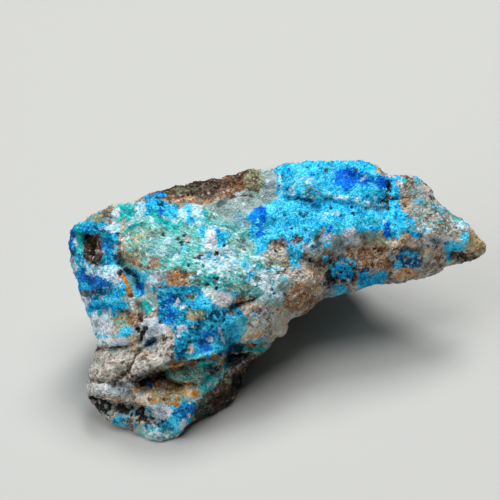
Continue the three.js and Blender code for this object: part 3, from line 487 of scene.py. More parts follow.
# The royal blue fan of crystals on the ledge, and the azure lump it grows on.
FAN = [
    Area("azure", [(-5.8, 41.6), (-2.7, 42.6), (-1, 43.6), (0.4, 43.6), (0, 38), (-2, 36), (-3.6, 35),
                   (-5.4, 36.8), (-5.6, 39)], 0.97),
    Area("royal", [(-5.5, 41.4), (-4.6, 42.2), (-3.6, 42.6), (-2.6, 42.2), (-2.4, 40.8), (-2.9, 39.6),
                   (-3.5, 38.5), (-4, 38.6), (-4.6, 39.8), (-5.4, 40.5)], 1.0, 0, 0.15),
    Spots("royal", [(-3.6, 37.6)], 0.7),
]
ARM_TOP = [
    Area("azure", [(-0.9, 50.6), (8, 51.8), (16, 51.6), (19, 49.6), (22, 47.6), (21.8, 43), (24.6, 40.4),
                   (25.8, 38), (25.3, 37.2), (24.2, 36.9), (23.8, 38), (22, 37.8), (21.6, 36.8), (19.8, 36.6),
                   (18.8, 38.2), (16, 38.2), (15, 37.9), (14.1, 38.2), (13.4, 38.9), (11.4, 38.4), (11, 37.4),
                   (9.6, 37.8), (7, 38), (6.2, 36.8), (4.4, 36.3), (2.6, 35.8), (-1, 36.6), (-2.6, 38.4),
                   (-2.2, 42.6), (-0.2, 43.8)], 0.97, 0, 0.2),
    Streak("chalk", [(-0.3, 49.4), (0.1, 47), (0.3, 45.2), (0.5, 44)], 0.3, 0.7),
    Streak("umber", [(-1, 50.3), (2, 50.7), (6, 51.3), (10.3, 51.6), (15, 51.5)], 0.8, 0.9),
    Streak("umber", [(16.6, 50.8), (18.4, 49.6), (20, 48.6)], 1.4),
    Spots("ochre", [(17.8, 49)], 0.5),
    Spots("rust", [(18.4, 48.4)], 0.45),
    Patch("lilac", 18.8, 20.5, 47.4, 48.3, 0.9),
    Patch("royal", 9.4, 14.4, 45.8, 49.5, 0.95, 0.05, 0.5),
    Streak("royal", [(13.6, 47.6), (15.4, 47.1), (18.8, 46.8)], 2.0, 0.9, 0.1, 0.3),
    Patch("cobalt", 0.5, 1.7, 37.9, 39.7, 0.6),
    Streak("royal", [(19.3, 39.5), (19.3, 37.5)], 1.0),
    Patch("chalk", 0.8, 9, 43.6, 48.4, 0.4, 0.7),
    Patch("chalk", 4.1, 5.9, 46.3, 48, 0.85, 0.15),
    Patch("chalk", 1.3, 2.7, 44.9, 45.9, 0.8),
    Patch("sea", 4.4, 6.8, 43.8, 46.1, 0.85, 0.25),
    # Painted shadow: the navy streak under the fold of the crust.
    Streak("navy", [(2.6, 44.1), (4.5, 43.8), (5.6, 43.6)], 0.45),
    Streak("chalk", [(14.6, 47.2), (15.6, 48.2)], 0.5),
    # Painted highlight: the pale streak along the ridge of the crust, where it catches the light.
    Streak("chalk", [(9, 44.6), (12, 44.2), (14, 43.4), (16.4, 42.8), (18.4, 42.4)], 1.0, 0.8, 0.25),
    Streak("teal", [(12.6, 45), (15, 45.2), (17, 45.3)], 0.7, 0.8, 0.3),
    Patch("navy", 3, 5.4, 40.4, 41.7, 0.7, 0.35),
    Streak("teal", [(8.6, 39.6), (11.4, 39.2), (14.4, 40), (17, 39.6)], 0.9, 0.7, 0.5),
    Patch("chalk", 7, 9.7, 40.5, 41.7, 0.7, 0.35),
    Spots("umber", [(8.4, 49), (13.8, 49.1)], 0.3),
    Spots("navy", [(13.2, 41.2), (12.9, 42.4), (9.1, 42.3), (0.9, 40.9), (2.1, 38.6), (15.8, 44.4)], 0.32),
    Spots("chalk", [(10.4, 41.3), (18.8, 39.8), (17, 44.2)], 0.4, 0.8),
    Patch("umber", 2.5, 3.9, 36.1, 37.7, 0.9),
    Streak("peach", [(5.8, 36), (7.4, 37.4), (7.8, 38.6)], 0.5, 0.85),
    Streak("soot", [(19.7, 46.7), (19.5, 45.4)], 0.8),
    Spots("soot", [(19.4, 44.3), (19.2, 42.3)], 0.42),
    Streak("soot", [(18.2, 43.3), (19.4, 43.3)], 0.8, 0.95, 0.1),
    Streak("umber", [(20, 44), (21.1, 43.8)], 0.7),
]
ARM_END = [
    Area("sand", [(21, 47), (24, 48.8), (28.6, 44), (31, 42.6), (35.4, 38.8), (30, 36), (25.6, 37.4),
                  (21.6, 43)]),
    Patch("quartz", 23, 26.4, 42, 47, 0.7, 0.2),
    Patch("umber", 21.8, 24.5, 45.9, 48, 0.8, 0.3),
    Spots("teal", [(22.4, 47.2)], 0.45),
    Patch("azure", 24.3, 25.3, 46.7, 48, 0.9),
    Patch("rust", 22, 23.7, 41.9, 44.2, 0.9, 0.15),
    Patch("peach", 21.8, 24, 41, 43.8, 0.7, 0.5),
    Spots("azure", [(25.2, 43.5)], 0.48),
    Spots("umber", [(27.2, 44.2), (28, 44.4)], 0.5),
    Spots("azure", [(29.2, 41.7), (28, 42.1)], 0.5),
    Patch("quartz", 22.4, 32, 36.8, 44, 0.5, 0.4, 0.6),
    Patch("lilac", 24.6, 31.4, 37, 40.6, 0.4, 0.4),
    Patch("peach", 24.4, 31.4, 36.8, 41.4, 0.7, 0.3, 0.6),
    Patch("chalk", 24, 31.6, 36.8, 43, 0.5, 0.6),
    Patch("teal", 23.4, 31.6, 38, 44.4, 0.5, 0.72),
    Patch("umber", 26, 31.4, 39.4, 44, 0.5, 0.72),
    Streak("chalk", [(25.8, 39.6), (26.6, 38.2)], 0.5),
    Patch("teal", 31.2, 33.8, 39.7, 41.1, 0.9, 0.15),
    Patch("chalk", 31.9, 33.8, 38.5, 39.9, 0.95),
    Patch("azure", 32.5, 34.9, 36.1, 38, 0.95),
    Patch("azure", 29.5, 33.3, 34.2, 36.3, 0.97),
    Streak("azure", [(30.4, 34.4), (30.4, 33)], 1.0),
    Area("ochre", [(34.2, 38), (34.2, 34.4), (36, 33.4), (38.4, 33.8), (38.4, 37), (36, 38.6)], 0.9),
    Patch("umber", 35.8, 37.8, 34, 36.2, 0.5),
    Area("umber", [(31, 33.2), (31.2, 34.4), (33, 34.6), (35, 34.4), (35, 33.4), (33, 33)], 0.95, 0.1),
]
ARM_FRONT = [
    Area("sand", [(-2, 37), (8, 38), (20, 37.4), (30, 37), (34, 33), (30, 30), (18, 27.4), (6, 23), (1, 23),
                  (-2, 30)]),
    Area("azure", [(0, 38), (9.6, 38.4), (9.4, 34.8), (4.6, 34.4), (2, 31.4), (1.2, 34)], 0.9, 0.05),
    Patch("chalk", 2, 9.6, 34.6, 38, 0.6, 0.55),
    Patch("lilac", 3.9, 5.3, 34.7, 35.9, 0.95),
    Patch("navy", 5.2, 6.1, 34.9, 35.9, 0.8),
    Patch("peach", 6.5, 7.9, 34.9, 35.9, 0.9),
    Patch("lilac", 7.8, 9.5, 36.7, 37.7, 0.95),
    Spots("navy", [(5.3, 32.9)], 0.5),
    Patch("peach", 3.8, 9.8, 28.6, 32.8, 0.7, 0.2),
    Patch("umber", 4.8, 9.4, 30.6, 33, 0.6, 0.4),
    Patch("umber", 7.2, 9.4, 32.7, 34.2, 0.95),
    Spots("azure", [(8.1, 33.4)], 0.55),
    Patch("quartz", 9.4, 13.4, 34.2, 38.2, 0.95),
    Patch("olive", 15, 19.7, 35, 38.2, 0.9),
    Patch("quartz", 15.2, 18.6, 36.2, 38, 0.7),
    Area("rust", [(11.7, 34.6), (12.4, 35.7), (14.6, 35.2), (17, 35.5), (19.2, 35.4), (19.4, 32.6),
                  (18.4, 31.2), (14, 31.8), (12.2, 33)], 0.95),
    Patch("umber", 15.4, 18.8, 31.3, 35, 0.7, 0.3),
    Patch("peach", 12, 19, 32, 35.6, 0.7, 0.5),
    Spots("rust", [(15.6, 34.2), (14.3, 32.6), (15.5, 32.5)], 0.55),
    Patch("peach", 12, 18.8, 34, 36, 0.4, 0.62),
    Patch("lilac", 11.1, 14.1, 35.5, 38.8, 0.95),
    Patch("soot", 8.3, 14, 28, 33, 0.9, 0.2, 0.5),
    Patch("navy", 8.6, 13.6, 28.6, 33, 0.5, 0.4),
    Spots("azure", [(9.8, 30.4), (12.4, 31.4)], 0.5),
    Spots("teal", [(9, 31.7)], 0.45),
    Patch("azure", 9.6, 13.9, 29, 33.3, 1.0, 0.4),
    Spots("lilac", [(10.6, 32.5), (11.2, 32.4), (10.3, 30.6), (12.2, 29.2)], 0.24),
    Streak("umber", [(13.4, 31.2), (13.3, 30), (13.2, 28.6)], 0.75),
    Area("azure", [(13.7, 30.9), (15.8, 30.7), (16.4, 30), (17.6, 30.8), (19, 31), (19.7, 30.6), (18.4, 29),
                   (17.8, 28.3), (16, 28), (14.6, 27.7), (13.8, 28.4), (14.2, 29.6)], 0.98, 0, 0.15),
    Patch("navy", 14.1, 15.7, 30.8, 31.8, 0.9),
    Patch("navy", 6.8, 9.7, 28, 28.9, 0.8, 0.2),
    Patch("azure", 9.2, 12.4, 26.8, 28.3, 0.95),
    Patch("peach", 2, 7, 26.6, 29.1, 0.9),
    Patch("rust", 1.4, 7.6, 23.4, 27, 0.85, 0.2),
    Patch("umber", 2, 6.4, 24, 26.8, 0.5, 0.5),
    Patch("rust", 18.7, 20.5, 30.9, 33.1, 0.95),
    Patch("peach", 19.7, 24.2, 33.5, 37.9, 0.95),
    Area("navy", [(20.3, 31), (20.2, 34.2), (22, 34.9), (25, 34.6), (25.3, 32),
                  (24.4, 30.9)], 0.9, 0.25, 0.5),
    Patch("cobalt", 20.4, 25, 31, 34.8, 0.6, 0.5),
    Spots("azure", [(21.2, 32.2)], 0.65),
    Patch("azure", 22, 24.4, 33.4, 34.4, 0.8),
    Patch("lilac", 22.7, 23.7, 32.7, 33.4, 0.9),
    Patch("peach", 20.4, 25, 29.2, 31.4, 0.95),
    Patch("amber", 20.6, 24.8, 29.3, 31.3, 0.7, 0.5),
    Streak("umber", [(14, 27.5), (18, 28.2), (22, 28.8), (27, 29.7), (30, 31.2), (33, 32.4),
                     (36, 33.4)], 0.6, 0.8, 0.2),
    Patch("peach", 25.4, 28.6, 33.6, 35, 0.95),
    Patch("navy", 26.3, 28.7, 35.3, 36.5, 0.75, 0.1),
    Patch("rust", 27.3, 29.1, 32.9, 33.7, 0.9),
    Patch("umber", 25.4, 30, 31, 33, 0.6, 0.35),
]
WAIST = [
    Area("chalk", [(-6.6, 30), (-5.4, 33.6), (-2, 33.8), (0.6, 32), (1.6, 29), (0, 26), (-3.4, 25.6),
                   (-6, 28)], 0.85),
    Patch("sea", -10.4, -5, 28, 30.4, 0.8, 0.2),
    Patch("teal", -10.2, -5, 28, 30.2, 0.6, 0.4),
    Patch("sea", -10.2, -4, 26.8, 28.5, 0.85, 0.1),
    Patch("mint", -5.9, -2.9, 26, 28.1, 0.85),
    Streak("azure", [(-5.6, 29.4), (-4.6, 30.5)], 0.6),
    Streak("azure", [(-4, 31.6), (-3, 31.3), (-2, 31)], 0.7),
    Patch("teal", -4.7, -3, 31.7, 32.9, 0.9),
    Streak("lilac", [(-3.2, 31), (-2, 30.2), (-1, 29.9)], 0.6),
    Spots("sea", [(-4, 29.4)], 0.6),
    Patch("chalk", -3.1, -1.5, 26.3, 29.6, 0.8),
    Patch("olive", -2.7, -0.5, 31.9, 33.9, 0.95),
    Area("umber", [(-2.4, 35), (-2.2, 36.8), (0.4, 37), (2.4, 36.6), (2.4, 35.2), (0, 34.8)], 0.7, 0.2),
    Patch("sea", -6, 2, 31, 35, 0.5, 0.4),
    Patch("sand", -3.7, 0.7, 32.9, 34.7, 0.8, 0.35),
    Spots("soot", [(-1.9, 36.4), (-0.9, 36.2), (-0.8, 34.6), (0.9, 31.1)], 0.34),
    Patch("azure", 1.6, 3.8, 31.4, 34.4, 0.9, 0.1),
    Patch("olive", 0, 1.3, 31.4, 32.5, 0.9),
    Patch("umber", -0.4, 1.1, 30.1, 30.9, 0.9),
    Patch("quartz", -0.3, 1.5, 27, 30, 0.85),
    Spots("azure", [(0.7, 29.4)], 0.5, 0.7),
    Patch("rust", 1.8, 4.5, 26, 29, 0.7, 0.25),
    Patch("amber", 1.8, 4.4, 24, 29, 0.35, 0.6),
    Spots("navy", [(-1.5, 27.6)], 0.36),
    Streak("navy", [(-1.8, 26.4), (-1.1, 27)], 0.4),
    Streak("navy", [(-5.8, 27), (-4.8, 27.8), (-4.1, 28.2)], 0.3, 0.8),
    Patch("quartz", -3.2, 1.4, 24, 26, 0.85, 0.1),
    Patch("mint", -4, 0.6, 24, 28.4, 0.4, 0.6),
    Patch("rust", 0.4, 3.4, 23.6, 26.2, 0.9, 0.1),
]
HEEL = [
    Area("peach", [(-7, 18.4), (-7, 23.6), (-4, 25), (0.4, 24.4), (1.6, 21.6), (0.6, 18.8)], 0.95),
    Patch("quartz", -5.6, 0.6, 18.6, 24.4, 0.75, 0.2),
    Patch("lilac", -4.8, -0.6, 21.4, 24.2, 0.7, 0.2),
    Patch("azure", -5.8, -3.4, 21.6, 23.6, 0.5, 0.3),
    Streak("navy", [(-10.2, 17.2), (-6.2, 17)], 1.7),
    Streak("teal", [(-6.4, 16.9), (-4.4, 16.8), (-2.6, 16.5)], 0.9, 0.9, 0.2),
    Spots("rust", [(-1.5, 16.8), (-5.6, 17.6), (-5.1, 17.6)], 0.5),
    Spots("umber", [(-4.6, 17.7), (-7.4, 17.9)], 0.4),
    Patch("umber", -6.8, -0.6, 18.4, 24.4, 0.7, 0.68),
    Patch("ochre", -6, 0.6, 18.8, 24, 0.5, 0.7),
    Patch("rust", -6.6, -2, 18.4, 20.4, 0.6, 0.6),
    Patch("umber", -8.8, -7, 24, 26.4, 0.8, 0.1),
    Patch("rust", -8.2, -6.4, 24.6, 26.3, 0.9),
    Streak("soot", [(-7, 24.8), (-6, 25.4), (-4.8, 26)], 0.8, 0.95, 0.1),
    Patch("peach", -6.4, -4, 24.4, 25.4, 0.8, 0.2),
]
BLUE_FACE = [
    Area("lagoon", [(-22, 28), (-16, 28.4), (-11, 27), (-8, 24.6), (-6, 22.6), (-6.4, 19.4), (-10.4, 15.8),
                    (-16, 14.4), (-18.8, 14.8), (-19, 20), (-22, 22)]),
    Patch("azure", -16, -12, 24.2, 26.4, 0.9, 0.1),
    Patch("azure", -17.8, -15.4, 18.4, 20.2, 0.9),
    Area("cobalt", [(-21.4, 27), (-19, 27.2), (-18.4, 25), (-19, 21), (-21.4, 21.4)], 0.95, 0.05),
    Patch("navy", -19.3, -17.2, 25, 26.7, 0.95),
    Spots("umber", [(-16.4, 26.5), (-15.9, 26.2)], 0.5),
    Spots("olive", [(-15.3, 26.5)], 0.5),
    Area("lilac", [(-18.4, 26), (-17.8, 24.9), (-18.3, 24.2), (-19, 24.8)], 0.97, 0, 0.12),
    Streak("lilac", [(-17.8, 24.3), (-17, 24.5)], 0.5),
    Area("olive", [(-16.8, 22.4), (-16.4, 23.9), (-14.8, 24), (-13.4, 23.8), (-13.6, 22.4),
                   (-15, 21.9)], 0.97, 0, 0.2),
    Patch("ochre", -16.4, -14, 22, 23.8, 0.7, 0.2),
    Patch("mint", -16, -14, 22.4, 23.8, 0.5, 0.4),
    Patch("navy", -12.9, -10.5, 21.7, 24, 0.85, 0.2),
    Patch("lilac", -18.9, -17, 20.1, 21.3, 0.9),
    Spots("lilac", [(-18.2, 19.2), (-15.4, 20.9)], 0.4),
    Patch("navy", -15.3, -13.9, 18.4, 22, 0.9, 0.1),
    Patch("peach", -16.8, -15.2, 16.2, 17.6, 0.8, 0.1),
    Patch("navy", -18.6, -16.8, 15, 17.8, 0.6, 0.35),
    Spots("soot", [(-16.3, 18.2), (-17.4, 15.3)], 0.35),
    Area("cobalt", [(-15, 16.4), (-14.4, 20.4), (-11.2, 20.4), (-11, 17), (-13, 16)], 0.97, 0.04),
    Area("lilac", [(-12.7, 19.7), (-12, 18.1), (-13.3, 18.4)], 0.97, 0, 0.12),
    Patch("azure", -12.3, -10.3, 16.3, 18.5, 0.95),
    Streak("lilac", [(-10.9, 20.6), (-10.6, 19.6), (-10.3, 18.2)], 0.6),
    Patch("azure", -10.3, -6.1, 19.1, 22.7, 0.95),
    Patch("umber", -9.3, -7.9, 22.9, 24.1, 0.85),
    Streak("azure", [(-16.6, 14.7), (-15.6, 14.8), (-14.8, 15.4), (-12.6, 16)], 0.7),
]
# The pale quartz chip with a white edge, set in the blue face.
CHIP = [
    Area("lilac", [(-13.5, 27.9), (-12, 27.4), (-10, 27.2), (-8.8, 26.8), (-8.3, 25.8), (-8.6, 24.6),
                   (-9.6, 23.9), (-10.6, 24.4), (-11.6, 25.2), (-12.6, 26)], 0.97, 0, 0.15),
    Streak("chalk", [(-13.6, 27.6), (-12.8, 26.2), (-11.8, 25.3), (-10.8, 24.6)], 0.8),
]
BLACK_BAND = [(-35.2, 8.4), (-33, 8.6), (-30.6, 7.4), (-27, 7), (-23.2, 7.2), (-20, 4.2), (-24, 2.8),
              (-26.4, 4.4), (-29.4, 5), (-34, 5)]
FOOT_FRONT = [
    Area("sand", [(-36, 19), (-33, 16.6), (-27.6, 17), (-24, 16.6), (-21.6, 19.4), (-18.6, 18.8),
                  (-18.2, 14.4), (-20, 13), (-26, 11.8), (-25, 7), (-36, 6)]),
    Area("soot", [(-21.4, 15.2), (-21.6, 18.8), (-18.4, 18.8), (-18, 15)], 0.7, 0.5),
    Streak("soot", [(-21, 18.8), (-20.4, 19)], 0.6),
    Spots("soot", [(-19.6, 18.8)], 0.4),
    Streak("umber", [(-31, 14.3), (-27, 14.5)], 0.3, 0.5),
    Patch("umber", -24.6, -22.4, 15.8, 17, 0.6, 0.3),
    Patch("lilac", -33.6, -26, 8.3, 11.4, 0.7, 0.15),
    Streak("umber", [(-24.3, 16.3), (-25.2, 16.4), (-26, 15.7), (-26.3, 14.6), (-26.8, 13.6), (-27.4, 12.6),
                     (-28.2, 12.1), (-29.2, 11.3), (-29.7, 11), (-29.8, 10)], 0.45, 0.9),
    Streak("umber", [(-34.2, 11.4), (-33, 11), (-31, 10.6), (-30, 10.9)], 0.6, 0.85, 0.1),
    Area("quartz", BLACK_BAND, 0.6, 0.2),
    Area("soot", BLACK_BAND, 0.75, 0.45),
    Area("soot", [(-35.4, 8.4), (-31.5, 8), (-31.2, 5.2), (-35, 5)], 1.0),
    Patch("soot", -29.5, -27.5, 5.7, 7, 0.95),
    Patch("soot", -27.6, -23.2, 4.2, 6.7, 0.8, 0.4),
    Patch("soot", -25.7, -24.1, 4.3, 5.7, 0.95),
    Patch("peach", -30.2, -27.5, 6.9, 8.9, 0.85, 0.35),
    Patch("peach", -26.6, -22.3, 6.4, 8.9, 0.9, 0.15),
    Patch("lagoon", -30.1, -27.5, 2.4, 4.9, 0.95),
    Patch("quartz", -30.4, -27.4, 2.2, 5, 0.5, 0.5),
    Patch("soot", -26.4, -20.3, 2.8, 6, 0.8, 0.5),
    Patch("mint", -26.4, -19.4, -0.6, 2.8, 0.95),
    Patch("lilac", -25.4, -19.6, -0.6, 2, 0.75, 0.25),
    Streak("lagoon", [(-26, 3.2), (-23.2, 2.8), (-21, 2)], 0.7, 0.8, 0.2),
    Patch("lilac", -22.7, -19.5, 4.5, 7.1, 0.95),
]
HOLLOW = [
    Area("ochre", [(-26, 11.4), (-22, 12.8), (-20, 14), (-12, 16), (-10.2, 15), (-10, 12), (-14, 8.4),
                   (-20, 8), (-26, 9.4)], 0.9),
    # Partly painted shadow: the dark umber patch under the lip of the hollow.
    Patch("umber", -26, -19, 10, 13, 0.6, 0.2),
    Patch("sea", -16, -10, 8, 15, 0.9, 0.1),
    Patch("lagoon", -15, -10.4, 9, 15, 0.6, 0.4),
    # Painted shadow: the black patches under the lip of the hollow.
    Patch("soot", -26.3, -22.4, 10.2, 12.2, 0.95),
    Patch("cobalt", -24.5, -23.1, 9.9, 11.5, 0.8),
    Patch("soot", -22.4, -20.2, 10.6, 12.8, 0.95),
    Area("sea", [(-20.8, 12.4), (-20.4, 13.6), (-18, 14.2), (-14, 13.9), (-13.8, 11.6), (-14.8, 10.9),
                 (-15.6, 11.2), (-17.4, 10.7), (-18.8, 10.9)], 0.97, 0, 0.2),
    Streak("teal", [(-20, 11.8), (-18.4, 11.3), (-15.8, 11.6)], 0.6, 0.6, 0.3),
    Patch("umber", -21.6, -19.4, 10, 11.4, 0.8),
    Patch("soot", -19, -16.8, 9.8, 10.8, 0.95),
    Area("ochre", [(-23, 7), (-22.8, 10.8), (-20.6, 10.6), (-17.2, 10), (-17, 7.8), (-20, 6.8)], 0.95),
    Patch("umber", -22.8, -17, 7, 10.4, 0.5, 0.8),
    Patch("peach", -22.5, -20.5, 8.7, 10.7, 0.95),
    Spots("mint", [(-18.4, 7.6), (-15.4, 8.8)], 1.1, 0.6, 0.4),
    Spots("amber", [(-22, 10.5), (-18.4, 7.7), (-18.7, 7), (-19, 13.7)], 0.6),
    Patch("mint", -17.8, -14, 6.9, 8.2, 0.9),
    Patch("peach", -16.6, -14.3, 7.9, 9.8, 0.95),
    Spots("amber", [(-15.4, 8.8)], 0.75),
    Patch("teal", -14.4, -13.3, 8.7, 10.9, 0.95),
    Patch("teal", -13.5, -11.9, 10.9, 12.1, 0.95),
    Patch("umber", -16, -12.1, 14.2, 15, 0.7),
    Patch("teal", -14.5, -11.7, 13.3, 14.5, 0.85),
    Spots("umber", [(-20.8, 7.8), (-23.5, 7.8), (-19.6, 9.4)], 0.3),
    Patch("soot", -13.1, -10.9, 12.2, 13.8, 0.85, 0.1),
    Streak("mint", [(-12, 10.4), (-11.5, 10.8), (-10.4, 11.9), (-10.1, 13.5)], 0.45),
    Area("cobalt", [(-19.4, 5.4), (-17.4, 7.3), (-14.4, 7.3), (-14.2, 5.4), (-16.6, 4.4), (-18.4, 4)], 0.97),
    Streak("navy", [(-19.2, 5.2), (-17.8, 5.8), (-16.8, 6)], 0.5, 0.8),
    Patch("azure", -19.8, -17.8, 2, 4.4, 0.95),
    Patch("lilac", -18.2, -16.6, 2.5, 3.7, 0.95),
    Spots("lilac", [(-17.4, 4), (-16.4, 5)], 0.35),
]
KEEL = [
    Area("umber", [(-16.4, 3), (-14.2, 8.4), (-13, 9.2), (-12, 9.8), (-11.2, 10.8), (-10, 11.6), (-10, 16.6),
                   (-5, 16.2), (-1, 16.6), (-1, 15), (-6, 8), (-12, 2)], 0.97, 0, 0.2),
    Area("sea", [(-15, 4.4), (-14.2, 8), (-12.8, 8.6), (-12, 5)], 0.5, 0.1),
    Patch("soot", -14, -9, 4, 9, 0.5, 0.35),
    Patch("soot", -9, -5.8, 9.6, 12.4, 0.85),
    Spots("olive", [(-9.2, 11)], 0.5, 0.8),
    Streak("quartz", [(-8.4, 13), (-7.2, 14.2), (-6.2, 15), (-5, 16), (-3.6, 16.2)], 0.5, 0.7),
    # Painted shadow: the black patch in the pocket under the step.
    Patch("soot", -10.3, -6, 15.4, 16.6, 0.9),
    Patch("navy", -9.8, -8, 14.2, 15.8, 0.85),
    Area("lilac", [(-10, 14.8), (-9.2, 15.2), (-8.6, 13.6), (-9.2, 12.2), (-9.9, 12.8)], 0.6),
    Patch("royal", -9.6, -8.8, 12.8, 14.6, 0.5),
    Streak("teal", [(-10, 15.4), (-10, 13)], 0.35),
]
REGIONS = (  # in the order they are painted
    LEFT_LOBE, SHOULDER, UPPER_LEDGE, MINT_FACE, RUST_PATCH, ARM_FRONT, ARM_TOP, ARM_END, WAIST, FAN,
    FOOT_FRONT, HEEL, BLUE_FACE, CHIP, HOLLOW, KEEL,
)
SHADES = [  # line, width, and how much the colours along it are darkened or lightened; most are painted shade in overhangs, creases and turned edges, or painted highlights on edges and shaded faces, a few plain colour changes
    ([(-38.2, 39), (-38, 35), (-37, 30), (-36.4, 26)], 0.8, -0.15),
    ([(-24, 44.6), (-19, 46), (-13, 47.4), (-7, 48.2)], 3.4, -0.14),
    ([(-33.8, 24.4), (-30.6, 24.6), (-27.4, 23.6)], 0.6, -0.15),
    ([(-29, 33.6), (-28, 31.6), (-26, 30), (-25, 28)], 1.0, -0.1),
    ([(-34, 17), (-30, 17.2), (-27, 17.5)], 0.6, -0.12),
    ([(-26.4, 11.6), (-24, 12.2), (-21.4, 12.6), (-20.6, 12.4)], 1.2, -0.35),
    ([(-20.4, 14.2), (-17.6, 14.6), (-15, 14.8), (-12, 15.6)], 0.5, -0.35),
    ([(-20.6, 12), (-18.8, 10.6), (-17.4, 10.3), (-15.6, 10.7)], 0.6, -0.3),
    ([(-34.6, 8), (-30, 6.8), (-25, 6)], 1.4, -0.2),
    ([(-12.2, 38.9), (-10.4, 39), (-8.4, 38.6)], 0.5, -0.15),
    ([(12, 35.4), (15, 34.9), (19.6, 35)], 0.7, -0.12),
    ([(12.6, 33.6), (16, 33.2), (18.6, 33)], 2.0, 0.02),
    ([(9, 31), (14, 30), (19, 29.8)], 2.6, -0.14),
    ([(23, 44), (28, 40.6), (31, 38.4)], 5.0, -0.06),
    ([(-4.4, 41), (-3.8, 39.6)], 2.0, 0.14),
    ([(30, 38), (34, 35.6), (36.4, 33.6)], 3.0, 0.08),
    ([(-35, 38), (-33, 30), (-31, 25)], 5.0, -0.06),
    ([(14, 29), (18, 30)], 2.0, 0.06),
    ([(20.4, 34.9), (22.4, 34.8), (25, 35)], 0.6, -0.2),
    ([(4.8, 33.4), (7, 32.6), (9.6, 33.4)], 0.8, -0.15),
    ([(31, 33.1), (33, 32.9), (36, 33.6)], 0.6, -0.2),
    ([(10.2, 29.6), (9.2, 28.6), (6.8, 28.4)], 0.7, -0.2),
    ([(-6, 20.4), (-3, 20.6), (0, 20.4)], 3.0, 0.22),
    ([(-13, 5), (-9, 9), (-5, 13)], 4.0, -0.13),
    ([(-22, 9.4), (-18, 9), (-14, 10.4)], 2.4, 0.06),
    ([(-13, 27), (-11.4, 26.2), (-9.4, 25.4)], 1.6, 0.22),
    ([(28.4, 37.3), (30.6, 36.6)], 0.6, 0.2),
    ([(-33.2, 18.6), (-30, 18.6), (-27, 18.8)], 0.5, 0.15),
    ([(-16.6, 14.9), (-14.8, 15.5), (-12.6, 16.2)], 0.5, 0.2),
    ([(-31, 25.6), (-29, 26), (-27.4, 25.4)], 0.7, 0.15),
]


# ---- Ground colours, where no patch is laid and on the sides that are turned away -------------------------
GROUND = {  # most it covers; size, octaves and offset of its noise; noise where it starts and is full
    "rust": (0.5, 14, 3, 21.0, -0.1, 0.5),
    "quartz": (0.7, 9, 4, 64.0, 0.05, 0.5),
    "peach": (0.5, 12, 3, 58.0, 0.0, 0.5),
    "umber": (0.75, 9, 4, 33.0, 0.05, 0.6),
    "mint": (0.6, 11, 3, 83.0, 0.2, 0.6),
    "azure": (0.9, 14, 4, 47.0, 0.24, 0.42),
}


def ground_shares(points):
    """Broken quartz and limonite matrix with patches of blue crust, by large soft noise."""
    shares = {"sand": np.ones(len(points))}
    for mineral, (most, size, octaves, offset, low, high) in GROUND.items():
        cover = most * smooth_step(low, high, rough_noise(points, size, octaves, offset))
        shares = {name: share * (1 - cover) for name, share in shares.items()}
        shares[mineral] = cover
    deep = smooth_step(0.0, 0.5, rough_noise(points, 5, 3, 71.0))
    shares["lagoon"] = shares["azure"] * deep
    shares["azure"] = shares["azure"] * (1 - deep)
    return shares


# ---- Forms ----------------------------------------------------------------------------------------------
STEPS = [  # edge, drawn so that the sunken side is on its right; depth under it; how far the hollow reaches
    ([(-27, 11.3), (-25.2, 11.7), (-23, 12.3), (-21.5, 12.9), (-20, 13.7), (-18, 14.5), (-15, 15.1),
      (-12, 16)], 2.6, 5.0),
    ([(-11.4, 16), (-10, 16.4), (-8, 16.4), (-6, 16.3)], 1.3, 2.6),
    ([(-7.4, 18.4), (-4, 18.4), (-1.6, 18.5), (0.6, 19.2)], 1.6, 3.0),
    ([(-34.8, 8.8), (-32.6, 8.4), (-29, 7.6), (-25.6, 7.2), (-22, 5.4), (-19.6, 3.6)], 1.3, 3.2),
    ([(-35, 12.2), (-32, 11.6), (-30, 11.2)], 0.9, 1.6),
    ([(-13.8, 43.4), (-11.6, 43.3), (-9.4, 44), (-8, 45)], 0.35, 2.0),
    ([(2, 44.4), (3.4, 44.5), (5.2, 44), (6.6, 43.2)], 0.9, 1.6),
    ([(9, 44.4), (12, 43.6), (15, 43), (18, 42.6)], 0.7, 2.4),
    ([(11.4, 35.8), (14, 35), (17, 35.4), (19.6, 34.6)], 0.6, 3.0),
    ([(20.4, 34.6), (22.4, 34.4), (25, 35.4)], 0.5, 3.0),
    ([(4.8, 33.4), (7, 32.8), (9.6, 33.4), (11, 34)], 0.9, 2.4),
    ([(-33, 17.2), (-30.2, 17.3), (-27.3, 17.9)], 0.6, 1.4),
    ([(-32.6, 24.4), (-30.4, 24.4), (-27.6, 23.8)], 0.8, 2.4),
    ([(-8.8, 24.9), (-6.6, 25.9), (-4.4, 26.5)], 1.0, 1.6),
    ([(30.8, 34.9), (33, 34.6), (35.6, 34.9)], 0.7, 2.0),
    ([(-36, 38), (-33.4, 38), (-31, 37)], 1.3, 4.0),
]
